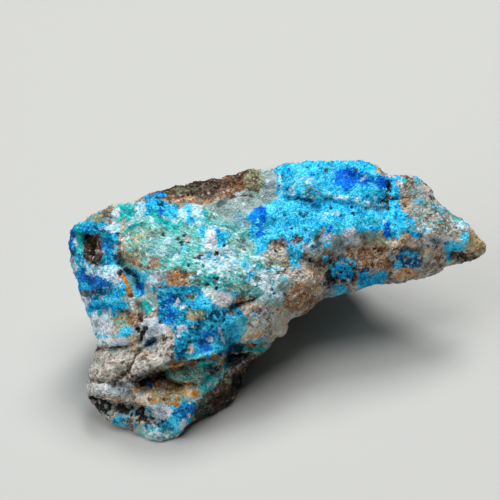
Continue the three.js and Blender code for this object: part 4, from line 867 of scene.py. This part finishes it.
CREASES = [  # line, width and depth
    ([(-24.2, 20.8), (-25.2, 18.3)], 0.9, 1.2),
    ([(-22.4, 18.2), (-25.5, 16.2), (-26.4, 14.2), (-27.4, 12.8), (-29.5, 11.3), (-30, 10.2)], 0.7, 1.2),
    ([(-30.4, 33.8), (-28, 31.6), (-26, 30), (-25, 28)], 2.0, 0.9),
    ([(-25.4, 24.8), (-25, 21.8)], 1.0, 1.1),
    ([(19.8, 46.8), (19.4, 44.2), (18.8, 42)], 1.0, 0.9),
    ([(18, 43.5), (21.4, 43.8)], 0.8, 0.7),
    ([(18.6, 40.6), (19.6, 38), (20.2, 36.8)], 1.0, 0.9),
    ([(9, 50.2), (12, 48), (16, 46.8)], 2.2, 0.8),
    ([(-21.8, 43.2), (-20.4, 41.8)], 0.7, 0.5),
    ([(-16.4, 16.6), (-16, 19), (-13.6, 21.8), (-12, 24)], 1.2, 0.6),
    ([(14.8, 38), (15.4, 35.4)], 0.8, 0.7),
    ([(10.6, 38.2), (11.2, 36)], 0.7, 0.6),
    ([(25.4, 37), (25.8, 34), (25.2, 31)], 0.9, 0.7),
    ([(13.2, 31.6), (13, 29), (12.4, 27.4)], 0.8, 0.8),
    ([(19.4, 33), (20, 31), (19.4, 29)], 0.8, 0.7),
    ([(6.6, 36.8), (7, 35), (6.8, 33)], 0.7, 0.6),
    ([(28.6, 41), (30.4, 39), (31, 37)], 0.8, 0.4),
    ([(-3, 43.4), (-2.6, 41), (-2.2, 38), (-2, 36)], 0.9, 0.6),
]
LUMPS = [  # centre, radius and height of a lump, or of a pit where the height is negative
    ((-12.3, 37.2), 1.4, 0.9), ((-1.6, 47), 1.6, 0.7), ((-16.4, 40.4), 2.0, 0.5),
    ((-22.6, 42.4), 1.6, 0.6), ((-18, 11.6), 1.7, 1.0), ((-15.2, 13), 1.5, 0.9), ((-8.4, 21), 2.2, 0.8),
    ((-28, 20), 1.5, 0.6), ((-33, 22), 1.8, 0.5), ((-22.8, 21.2), 2.0, 0.8), ((12.6, 37.6), 1.6, 0.8),
    ((14.4, 36.4), 1.0, 0.4), ((17.6, 37), 1.9, 0.7), ((22.2, 36), 1.9, 0.9), ((27.2, 34.8), 1.7, 0.7),
    ((31.4, 35.4), 1.3, 0.6), ((16.6, 29.4), 2.0, 0.9), ((9.2, 35.6), 1.4, 0.7), ((-3.6, 40.6), 1.3, 0.5),
    ((22.6, 41.8), 1.4, 0.5), ((-30.4, 29.6), 1.8, 0.7), ((-34, 30.6), 1.4, 0.6),
    ((-18.6, 7.8), 1.1, 0.6), ((-15.6, 9), 1.0, 0.6), ((-22, 9.2), 1.6, 0.6), ((-17.6, 5.6), 1.8, 0.6),
    ((-22, 1.4), 1.4, 0.5), ((-3, 28), 1.4, 0.5), ((-30, 14), 2.4, 0.5), ((-23.4, 14.4), 1.6, 0.7),
    ((-3, 22), 2.2, 0.7), ((11.6, 32), 1.3, 0.6), ((5.6, 35.6), 1.1, 0.6), ((23, 30.2), 1.4, 0.4),
    ((20.8, 41.6), 1.8, 0.5), ((22.4, 38.6), 1.4, 0.5), ((-9, 9), 2.4, 0.6), ((-12.6, 6), 1.8, 0.5),
    ((-28.6, 26.4), 1.6, 0.5), ((-33.2, 23.8), 1.2, 0.5), ((-25.6, 20.4), 0.7, -1.0),
    ((-23.3, 18.2), 1.2, -1.1), ((-21.6, 21.8), 0.5, -0.7), ((-18.3, 10.2), 0.8, -1.0),
    ((-33.4, 35.2), 1.8, -1.0), ((-17.2, 25.4), 0.6, -0.5), ((17, 33), 1.3, -0.7),
    ((7.9, 33.7), 0.7, -0.6), ((10.4, 29.6), 1.2, -0.7), ((23.4, 33), 1.5, -0.6), ((5.4, 45), 1.0, -0.5),
    ((-12.2, 13.2), 0.7, -0.6), ((33, 33.6), 1.2, -0.6), ((-4.4, 35), 1.8, -0.6),
    ((-10.4, 25.6), 2.2, -0.6), ((0.4, 35.4), 1.3, -0.5), ((-24, 10.8), 1.2, -0.9), ((25, 46), 1.6, -0.4),
    ((-26.6, 36), 2.4, -0.4),
]
RISES = [  # line along the top, width, and how far the rock there stands above the solid
    ([(-24, 45), (-19, 46.4), (-14, 47.6)], 3.4, 0.9),
    ([(-10, 48.8), (-5, 49.8)], 3.4, 0.4),
    ([(0, 50.6), (16, 51.6)], 3.0, 0.2),
]


FORM_BEND = 0.3  # how far noise bends the drawn forms
EDGE_WIDTH = 0.5  # how quickly the surface drops under a step's edge
CREASE_REACH, LUMP_REACH = 0.55, 0.8  # where a crease or lump has fallen to a third, in its widths or radii


def shaped(points, normals):
    """The solid's surface with the overhangs, creases, lumps and pits of the display side pressed into it."""
    facing = smooth_step(0.0, 0.3, normals @ OUT)
    plane = seen(points) + FORM_BEND * wander(points, 2.0, 9.0)
    sunk = np.zeros(len(points))
    for edge, depth, reach in STEPS:
        away, side = offset_from_line(plane, edge)
        below = away * side
        hollow = smooth_step(0, EDGE_WIDTH, below) * (1 - smooth_step(0.25 * reach, reach, below))
        sunk = np.maximum(sunk, depth * hollow)
    for line, width, depth in CREASES:
        sunk += depth * ridge_along(plane, line, CREASE_REACH * width)
    for centre, radius, height in LUMPS:
        away = np.linalg.norm(plane - np.array(centre), axis=1)
        sunk -= height * np.exp(-((away / (LUMP_REACH * radius)) ** 2))
    risen = np.zeros(len(points))
    for line, width, height in RISES:
        risen = np.maximum(risen, height * ridge_along(plane, line, width))
    return points - (facing * sunk)[:, None] * OUT + risen[:, None] * UP


# ---- Relief ---------------------------------------------------------------------------------------------
BIG_KNOBS, SMALL_KNOBS = 1.4, 0.8  # sizes of the relief's patterns, in millimetres
RIDGES, BREAKS, SWELLS, GRIT = 2.0, 4.2, 2.8, 0.65
BIG_KNOB_HEIGHT, SMALL_KNOB_HEIGHT, KNOB_BASE = 1.2, 0.6, 0.4  # in a mineral's own knob height
RIDGE_HEIGHT, BREAK_HEIGHT = 0.6, 0.6  # in its crag height
GRIT_HEIGHT = 1.6  # in its grit
SWELL_HEIGHT = 0.3  # millimetres, whatever the mineral


def knobs_of(points, size, offset):
    """Round knobs of about the given size, 0 between them and 0.75 on top."""
    return np.clip(0.75 - nearest_cell(points, size, offset), 0, 1)


def relief(points, shares):
    """How far each point stands out from the shaped solid, in millimetres, by the minerals there."""
    grit, knob, crag, crust = (np.array([getattr(MINERALS[name], field) for name in NAMES]) @ shares
                               for field in ("grit", "knob", "crag", "crust"))
    knobs = BIG_KNOB_HEIGHT * knobs_of(points, BIG_KNOBS, 3.0)
    knobs += SMALL_KNOB_HEIGHT * knobs_of(points, SMALL_KNOBS, 8.0) - KNOB_BASE
    ridges = 0.45 - 2.2 * np.abs(rough_noise(points, RIDGES, 3, 29.0))
    breaks = np.tanh(4 * rough_noise(points, BREAKS, 3, 37.0))
    crags = RIDGE_HEIGHT * ridges + BREAK_HEIGHT * breaks
    height = SWELL_HEIGHT * rough_noise(points, SWELLS, 3, 11.0) + crust + knob * knobs
    height += GRIT_HEIGHT * grit * rough_noise(points, GRIT, 2, 17.0) + crag * crags
    return height


# ---- Meshes ---------------------------------------------------------------------------------------------
def read(items, field, width, kind=np.float32):
    """A field of all of a mesh's items, with its width in numbers, as rows."""
    flat = np.empty(width * len(items), kind)
    items.foreach_get(field, flat)
    return flat.reshape(-1, width)


def vertex_points(mesh):
    """A mesh's points, in millimetres."""
    return read(mesh.vertices, "co", 3).astype(float) / MM


def vertex_normals(mesh):
    return read(mesh.vertex_normals, "vector", 3).astype(float)


def set_points(mesh, points):
    mesh.vertices.foreach_set("co", (points * MM).astype(np.float32).ravel())
    mesh.update()


def set_attribute(mesh, name, values):
    attribute = mesh.attributes.new(name, "FLOAT", "POINT")
    attribute.data.foreach_set("value", values.astype(np.float32))


def mesh_of(name, corners, faces):
    """A new object with the given corners, in millimetres, and faces."""
    mesh = bpy.data.meshes.new(name)
    mesh.from_pydata((corners * MM).tolist(), [], faces.tolist())
    obj = bpy.data.objects.new(name, mesh)
    bpy.context.scene.collection.objects.link(obj)
    return obj


def remesh(obj, size, rounding=0):
    """Give an object an even mesh with faces of the given size, its facets rounded off first."""
    if rounding:
        weld = obj.modifiers.new("weld", "WELD")
        weld.merge_threshold = 0.01 * MM
        smooth = obj.modifiers.new("rounding", "SUBSURF")
        smooth.levels = rounding
    even = obj.modifiers.new("even", "REMESH")
    even.mode = "VOXEL"
    even.voxel_size = size * MM
    rough = obj.data
    fine = bpy.data.meshes.new_from_object(obj.evaluated_get(bpy.context.evaluated_depsgraph_get()))
    obj.modifiers.clear()
    obj.data = fine
    bpy.data.meshes.remove(rough)


def rock_form(node):
    """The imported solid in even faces, with the display side's forms in it."""
    obj = bpy.data.objects.new("form", node.data.copy())
    bpy.context.scene.collection.objects.link(obj)
    remesh(obj, FORM_VOXEL, 2)
    set_points(obj.data, shaped(vertex_points(obj.data), vertex_normals(obj.data)))
    remesh(obj, VOXEL)
    return obj


BROAD_STEPS, FINE_STEPS = 30, 3  # how often the surface is evened out to find its hollows and its cracks
FINE_SHARE = 0.4  # how much the cracks count beside the hollows


def hollowness(mesh, points, normals, steps):
    """How deep each point lies under its surroundings, in millimetres."""
    a, b = read(mesh.edges, "vertices", 2, np.int32).T
    size = len(points)
    count = np.bincount(a, minlength=size) + np.bincount(b, minlength=size)
    even = points
    for _ in range(steps):
        total = [np.bincount(a, even[b, k], size) + np.bincount(b, even[a, k], size) for k in range(3)]
        even = 0.5 * even + 0.5 * np.stack(total, axis=1) / count[:, None]
    return ((even - points) * normals).sum(axis=1)


class Surface:
    """The finished rock surface, point by point, with its four-sided faces."""

    def __init__(self, mesh, shares, tone):
        self.points = vertex_points(mesh)
        self.normals = vertex_normals(mesh)
        self.shares = shares
        self.tone = tone
        self.hollow = hollowness(mesh, self.points, self.normals, BROAD_STEPS)
        self.hollow += FINE_SHARE * hollowness(mesh, self.points, self.normals, FINE_STEPS)
        self.faces = read(mesh.loops, "vertex_index", 1, np.int32).reshape(-1, 4)

    def colour(self, mesh, at, corners=1, tone=0.0, lift=0.0):
        """Give a mesh the minerals of the surface at some of its points, each for a number of corners."""
        for name, share in zip(NAMES, self.shares):
            if share[at].any():
                set_attribute(mesh, name, np.repeat(share[at], corners))
        # The tone brings the painted shade and highlights, and each crystal's own spread in tone.
        set_attribute(mesh, "tone", np.repeat(self.tone[at] + tone, corners))
        # The hollow darkens the colour in the material, as painted shade in hollows and cracks.
        set_attribute(mesh, "hollow", np.repeat(self.hollow[at] - lift, corners))


def grown_rock():
    """The rock's surface with every mineral in its place and as thick as it grows."""
    form = rock_form(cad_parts["specimen"])
    points, normals = vertex_points(form.data), vertex_normals(form.data)
    facing = smooth_step(-0.12, 0.08, normals @ OUT)
    paint = Painter(points, seen(points), facing, ground_shares(points))
    for region in REGIONS:
        paint.paint(region)
    paint.mingle()
    for line, width, change in SHADES:
        paint.shade(line, width, change)
    shares, tone = paint.finished()
    points = points + normals * relief(points, shares)[:, None]
    points[:, 2] = np.maximum(points[:, 2], 0)
    set_points(form.data, points)
    surface = Surface(form.data, shares, tone)
    bpy.data.objects.remove(form)
    return surface


def rock_slices(surface):
    """The rock's mesh cut across into slices of one size, each with the normals of the whole."""
    middles = surface.points[surface.faces].mean(axis=1)[:, 0]
    edges = np.quantile(middles, np.linspace(0, 1, len(SLICES) + 1))
    slices = []
    for name, low, high in zip(SLICES, edges[:-1], edges[1:]):
        faces = surface.faces[(middles >= low) & ((middles < high) | (high == edges[-1]))]
        at, faces = np.unique(faces, return_inverse=True)
        obj = mesh_of(name, surface.points[at], faces.reshape(-1, 4))
        surface.colour(obj.data, at)
        obj.data.shade_smooth()
        obj.data.normals_split_custom_set_from_vertices(surface.normals[at].tolist())
        slices.append(obj)
    return slices


# ---- Crystals and grains --------------------------------------------------------------------------------
OCTAHEDRON = np.array([(1, 0, 0), (0, 1, 0), (-1, 0, 0), (0, -1, 0), (0, 0, 1), (0, 0, -1)], float)
OCTAHEDRON_FACES = np.array([(a, (a + 1) % 4, 4) for a in range(4)] + [((a + 1) % 4, a, 5) for a in range(4)])
# Half lengths in millimetres; how far the long axis turns from its course, and how far it stands up.
Crystal = namedtuple("Crystal", "count half_lengths turn stand unevenness")
NEEDLE = Crystal(24000, (0.05, 0.04, 0.26), 0.35, 0.25, 0.15)
FIBRE = Crystal(16000, (0.05, 0.035, 0.26), 0.25, 0.1, 0.15)
GRAIN = Crystal(20000, (0.11, 0.09, 0.1), 1.0, 0.3, 0.2)
SIZE_SPREAD, SHAPE_SPREAD = 0.3, 0.2  # how much crystals of a kind differ in size, and in each half length
TONE_SPREAD, TONE_LIFT = 0.1, 0.02  # how much crystals differ in tone, and are lighter than the rock
HOLLOW_LIFT = 0.06  # how far crystals stand out of the hollows they grow in, in millimetres
TUFT_SIZE = 2.2  # millimetres within which crystals lie nearly the same way
CLEAR_OF_TABLE = 0.3  # no crystals grow below this height, in millimetres


def scatter(name, random, surface, weights, crystal, course):
    """Small crystals in one mesh, lying along a course on the rock, most where the weights are largest."""
    count = crystal.count
    at = random.choice(len(surface.points), count, replace=False, p=weights / weights.sum())
    normal = surface.normals[at]
    along = course[at] - (course[at] * normal).sum(axis=1, keepdims=True) * normal
    axis = unit(unit(along) + crystal.turn * random.normal(size=(count, 3)) + crystal.stand * normal)
    side = unit(np.cross(axis, normal))
    frames = np.stack([side, np.cross(axis, side), axis], axis=1)
    scale = np.array(crystal.half_lengths) * np.exp(SIZE_SPREAD * random.normal(size=(count, 1)))
    scale *= np.clip(1 + SHAPE_SPREAD * random.normal(size=(count, 3)), 0.5, 1.6)
    shapes = OCTAHEDRON * scale[:, None, :] * (1 + crystal.unevenness * random.normal(size=(count, 6, 1)))
    corners = surface.points[at][:, None, :] + np.einsum("nij,njk->nik", shapes, frames)
    corners[:, :, 2] = np.maximum(corners[:, :, 2], 0)
    faces = OCTAHEDRON_FACES[None] + 6 * np.arange(count)[:, None, None]
    obj = mesh_of(name, corners.reshape(-1, 3), faces.reshape(-1, 3))
    surface.colour(obj.data, at, 6, TONE_SPREAD * random.normal(size=count) + TONE_LIFT, HOLLOW_LIFT)
    return obj


def build_crystals(surface):
    """Needles on the blue crusts, fibres on the pale ones and grains on bare rock, one mesh of each."""
    random = np.random.default_rng(SEED)
    share = dict(zip(NAMES, surface.shares))
    above = surface.points[:, 2] > CLEAR_OF_TABLE
    blue = share["azure"] + share["lagoon"] + share["royal"] + 0.6 * share["teal"] + 0.5 * share["navy"]
    pale = share["chalk"] + share["mint"] + 0.8 * share["lilac"] + 0.4 * share["olive"] + 0.3 * share["sea"]
    stone = sum(share[name] for name in ("sand", "rust", "amber", "ochre", "umber", "soot", "peach"))
    place = surface.points / TUFT_SIZE
    tufts = np.stack([soft_noise(place + offset) for offset in (3.0, 17.0, 41.0)], axis=1)
    return [
        scatter("blue_needles", random, surface, blue * above, NEEDLE, tufts),
        scatter("pale_fibres", random, surface, pale * above, FIBRE, FACE_GRAIN + tufts),
        scatter("stone_grains", random, surface, stone * above, GRAIN, tufts),
    ]


# ---- Material -------------------------------------------------------------------------------------------
def linear(colour):
    """sRGB 0 to 255 as linear RGBA."""
    parts = [c / 255 for c in colour]
    return [c / 12.92 if c <= 0.04045 else ((c + 0.055) / 1.055) ** 2.4 for c in parts] + [1.0]


class Nodes:
    """Short calls for the nodes of one material."""

    def __init__(self, material):
        material.use_nodes = True
        self.tree = material.node_tree
        self.shader = self.tree.nodes["Principled BSDF"]
        self.place = self.tree.nodes.new("ShaderNodeTexCoord").outputs["Object"]

    def put(self, socket, value):
        if isinstance(value, bpy.types.NodeSocket):
            self.tree.links.new(value, socket)
        else:
            socket.default_value = value

    def math(self, operation, *values, clamp=False):
        node = self.tree.nodes.new("ShaderNodeMath")
        node.operation = operation
        node.use_clamp = clamp
        for socket, value in zip(node.inputs, values):
            self.put(socket, value)
        return node.outputs[0]

    def vector(self, operation, a, b=None, scale=None):
        node = self.tree.nodes.new("ShaderNodeVectorMath")
        node.operation = operation
        self.put(node.inputs[0], a)
        if b is not None:
            self.put(node.inputs[1], b)
        if scale is not None:
            self.put(node.inputs["Scale"], scale)
        return node.outputs["Vector"]

    def attribute(self, name):
        node = self.tree.nodes.new("ShaderNodeAttribute")
        node.attribute_name = name
        return node.outputs["Fac"]

    def drawn_out(self, direction, stretch=4.0):
        """The place, squeezed along a direction so that a pattern on it is stretched that way."""
        direction = tuple(direction)
        along = self.vector("PROJECT", self.place, direction)
        return self.vector("SUBTRACT", self.place, self.vector("SCALE", along, scale=1 - 1 / stretch))

    def noise(self, size_mm, octaves, offset, roughness, place=None):
        node = self.tree.nodes.new("ShaderNodeTexNoise")
        node.noise_dimensions = "4D"
        self.put(node.inputs["Vector"], place or self.place)
        node.inputs["W"].default_value = offset
        node.inputs["Scale"].default_value = 1 / (size_mm * MM)
        node.inputs["Detail"].default_value = octaves
        node.inputs["Roughness"].default_value = roughness
        return node.outputs["Fac"]

    def cells(self, size_mm):
        node = self.tree.nodes.new("ShaderNodeTexVoronoi")
        self.put(node.inputs["Vector"], self.place)
        node.inputs["Scale"].default_value = 1 / (size_mm * MM)
        return node.outputs["Distance"]

    def ramp(self, fac, stops):
        node = self.tree.nodes.new("ShaderNodeValToRGB")
        self.put(node.inputs[0], fac)
        elements = node.color_ramp.elements
        for element, (position, colour) in zip(elements, (stops[0], stops[-1])):
            element.position = position
            element.color = colour
        for position, colour in stops[1:-1]:
            elements.new(position).color = colour
        return node.outputs["Color"]


# Noise in the material: size in millimetres, octaves, offset and roughness.
PLAIN_NOISE, FACE_NOISE, FOOT_NOISE = (0.36, 3, 1.0, 0.75), (0.42, 3, 3.0, 0.75), (0.5, 3, 4.0, 0.75)
BROAD_NOISE, BUMP_NOISE = (2.2, 3, 2.0, 0.6), (0.3, 3, 5.0, 0.6)
SPECK_SIZE, SPECK_STEP = 0.44, 0.05  # millimetres, and how much coarser the next mineral's specks are
FAINTEST_SPECK = 0.02  # above nought, so that a mineral alone in a place covers all of it
BUMP_CELLS = 0.4  # size of the grains in the bump, in millimetres
TONE_SHIFT = -0.205  # brings the middle of the tone noise to the middle of the colour ramps
FINE_TONE, BROAD_TONE = 0.95, 0.5  # how much the fine and the broad noise vary the tone
TONE_STOPS = (0.33, 0.5, 0.69)  # where on the tone a mineral's dark, middle and light colours lie
SPECK_CONTRAST = 4.0  # how sharply shares break into specks
HOLLOW_SHADE, DARKEST = -1.6, 0.4  # darkening for each millimetre of hollowness, and its limit
BUMP_HEIGHT = 0.18  # millimetres
GLOSS = 0.12


def rock_material():
    """Each mineral's share, broken into specks by noise of its own, decides how much of its colour shows."""
    material = bpy.data.materials.new("minerals")
    nodes = Nodes(material)
    # The tone attribute shifts the colour ramps: painted shade and highlights, and the crystals' spread in
    # tone.
    shift = nodes.math("ADD", nodes.attribute("tone"), TONE_SHIFT)
    broad = nodes.noise(*BROAD_NOISE)
    tones = []
    for fine in (
        nodes.noise(*PLAIN_NOISE),
        nodes.noise(*FACE_NOISE, nodes.drawn_out(FACE_GRAIN)),
        nodes.noise(*FOOT_NOISE, nodes.drawn_out(FOOT_GRAIN)),
    ):
        tone = nodes.math("MULTIPLY", fine, FINE_TONE)
        tone = nodes.math("MULTIPLY_ADD", broad, BROAD_TONE, tone)
        tones.append(nodes.math("ADD", tone, shift))
    colour, roughness, total = None, None, None
    for index, (name, mineral) in enumerate(MINERALS.items()):
        own = nodes.noise(SPECK_SIZE + SPECK_STEP * (index % 5), 2, 10.0 + index, 0.65)
        contrast = SPECK_CONTRAST * mineral.speck
        specks = nodes.math("MULTIPLY_ADD", own, contrast, 1 - contrast / 2)
        specks = nodes.math("MAXIMUM", specks, FAINTEST_SPECK)
        strength = nodes.math("MULTIPLY", nodes.attribute(name), specks)
        strength = nodes.math("POWER", strength, 2.0)
        stops = list(zip(TONE_STOPS, map(linear, (mineral.dark, mineral.middle, mineral.light))))
        part = nodes.vector("SCALE", nodes.ramp(tones[mineral.grain], stops), scale=strength)
        rough_part = nodes.math("MULTIPLY", strength, mineral.roughness)
        colour = part if colour is None else nodes.vector("ADD", colour, part)
        roughness = rough_part if roughness is None else nodes.math("ADD", roughness, rough_part)
        total = strength if total is None else nodes.math("ADD", total, strength)
    share = nodes.math("DIVIDE", 1.0, nodes.math("MAXIMUM", total, 1e-5))
    # Painted shade: the colour is darkened where the surface lies in hollows and cracks.
    shade = nodes.math("MULTIPLY_ADD", nodes.attribute("hollow"), HOLLOW_SHADE, 1.0, clamp=True)
    shade = nodes.math("MAXIMUM", shade, DARKEST)
    colour = nodes.vector("SCALE", colour, scale=nodes.math("MULTIPLY", share, shade))
    nodes.put(nodes.shader.inputs["Base Color"], colour)
    nodes.put(nodes.shader.inputs["Roughness"], nodes.math("MULTIPLY", roughness, share))
    bump = nodes.tree.nodes.new("ShaderNodeBump")
    bump.inputs["Distance"].default_value = BUMP_HEIGHT * MM
    bump.inputs["Strength"].default_value = 1.0
    height = nodes.math("ADD", nodes.noise(*BUMP_NOISE), nodes.cells(BUMP_CELLS))
    nodes.put(bump.inputs["Height"], height)
    nodes.put(nodes.shader.inputs["Normal"], bump.outputs["Normal"])
    nodes.shader.inputs["Specular IOR Level"].default_value = GLOSS
    return material


# ---- Stage, in metres -----------------------------------------------------------------------------------
FLOOR_SIZE = 3
FLOOR_COLOUR = (184, 185, 182)
AIM_HEIGHT = 0.015  # the lights point at the middle of the specimen
ROOM_LIGHT = 0.03  # light from all sides, beside the three lights
LIGHTS = {  # direction from the specimen, distance, size, and power in watts
    "overhead": ((0.09, 0.05, 0.97), 0.8, 0.5, 3.4),
    "window": ((0.16, 0.44, 0.85), 0.8, 0.3, 4.3),
    "wall": ((-0.68, -0.28, 0.61), 0.8, 0.9, 4.6),
}


def add_floor():
    bpy.ops.mesh.primitive_plane_add(size=FLOOR_SIZE)
    floor = bpy.context.object
    floor.name = "floor"
    material = bpy.data.materials.new("floor")
    material.use_nodes = True
    shader = material.node_tree.nodes["Principled BSDF"]
    shader.inputs["Base Color"].default_value = linear(FLOOR_COLOUR)
    shader.inputs["Roughness"].default_value = 0.8
    floor.data.materials.append(material)


def add_area_light(name, direction, distance, size, watts):
    """A round light in a direction from the specimen, turned towards it."""
    light = bpy.data.lights.new(name, "AREA")
    light.shape = "DISK"
    light.size = size
    light.energy = watts
    obj = bpy.data.objects.new(name, light)
    direction = Vector(direction).normalized()
    obj.location = direction * distance + Vector((0, 0, AIM_HEIGHT))
    obj.rotation_euler = direction.to_track_quat("Z", "Y").to_euler()
    bpy.context.scene.collection.objects.link(obj)


def add_lights():
    """Soft light from above and behind, and weak wide light from the left, as by a window."""
    for name, (direction, distance, size, watts) in LIGHTS.items():
        add_area_light(name, direction, distance, size, watts)
    world = bpy.data.worlds.new("room")
    bpy.context.scene.world = world
    world.use_nodes = True
    background = world.node_tree.nodes["Background"]
    background.inputs["Color"].default_value = (0.95, 0.98, 1.0, 1.0)
    background.inputs["Strength"].default_value = ROOM_LIGHT


def add_camera():
    """The camera looks straight at the display plane."""
    camera = bpy.data.cameras.new("camera")
    camera.sensor_width = 36.0
    camera.lens = camera.sensor_width * VIEW_DISTANCE / FRAME_WIDTH
    camera.clip_start = 0.01
    obj = bpy.data.objects.new("camera", camera)
    eye = FOOT + VIEW_CENTRE[0] * ACROSS + VIEW_CENTRE[1] * UP + VIEW_DISTANCE * OUT
    turn = Matrix(np.stack([ACROSS, UP, OUT], axis=1).tolist()).to_4x4()
    obj.matrix_world = Matrix.Translation(Vector(eye * MM)) @ turn
    bpy.context.scene.collection.objects.link(obj)
    bpy.context.scene.camera = obj


# ---- The specimen on its stage --------------------------------------------------------------------------
surface = grown_rock()
minerals = rock_material()
slices = rock_slices(surface)
pieces = slices + build_crystals(surface)
for piece in pieces:
    piece.data.materials.append(minerals)
    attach(piece, "root")
for piece in slices:
    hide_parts("specimen")

add_floor()
add_lights()
add_camera()
bpy.context.scene.view_settings.view_transform = "Standard"

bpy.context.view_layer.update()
for piece in pieces:
    print(piece.name, "triangles", sum(len(p.vertices) - 2 for p in piece.data.polygons))
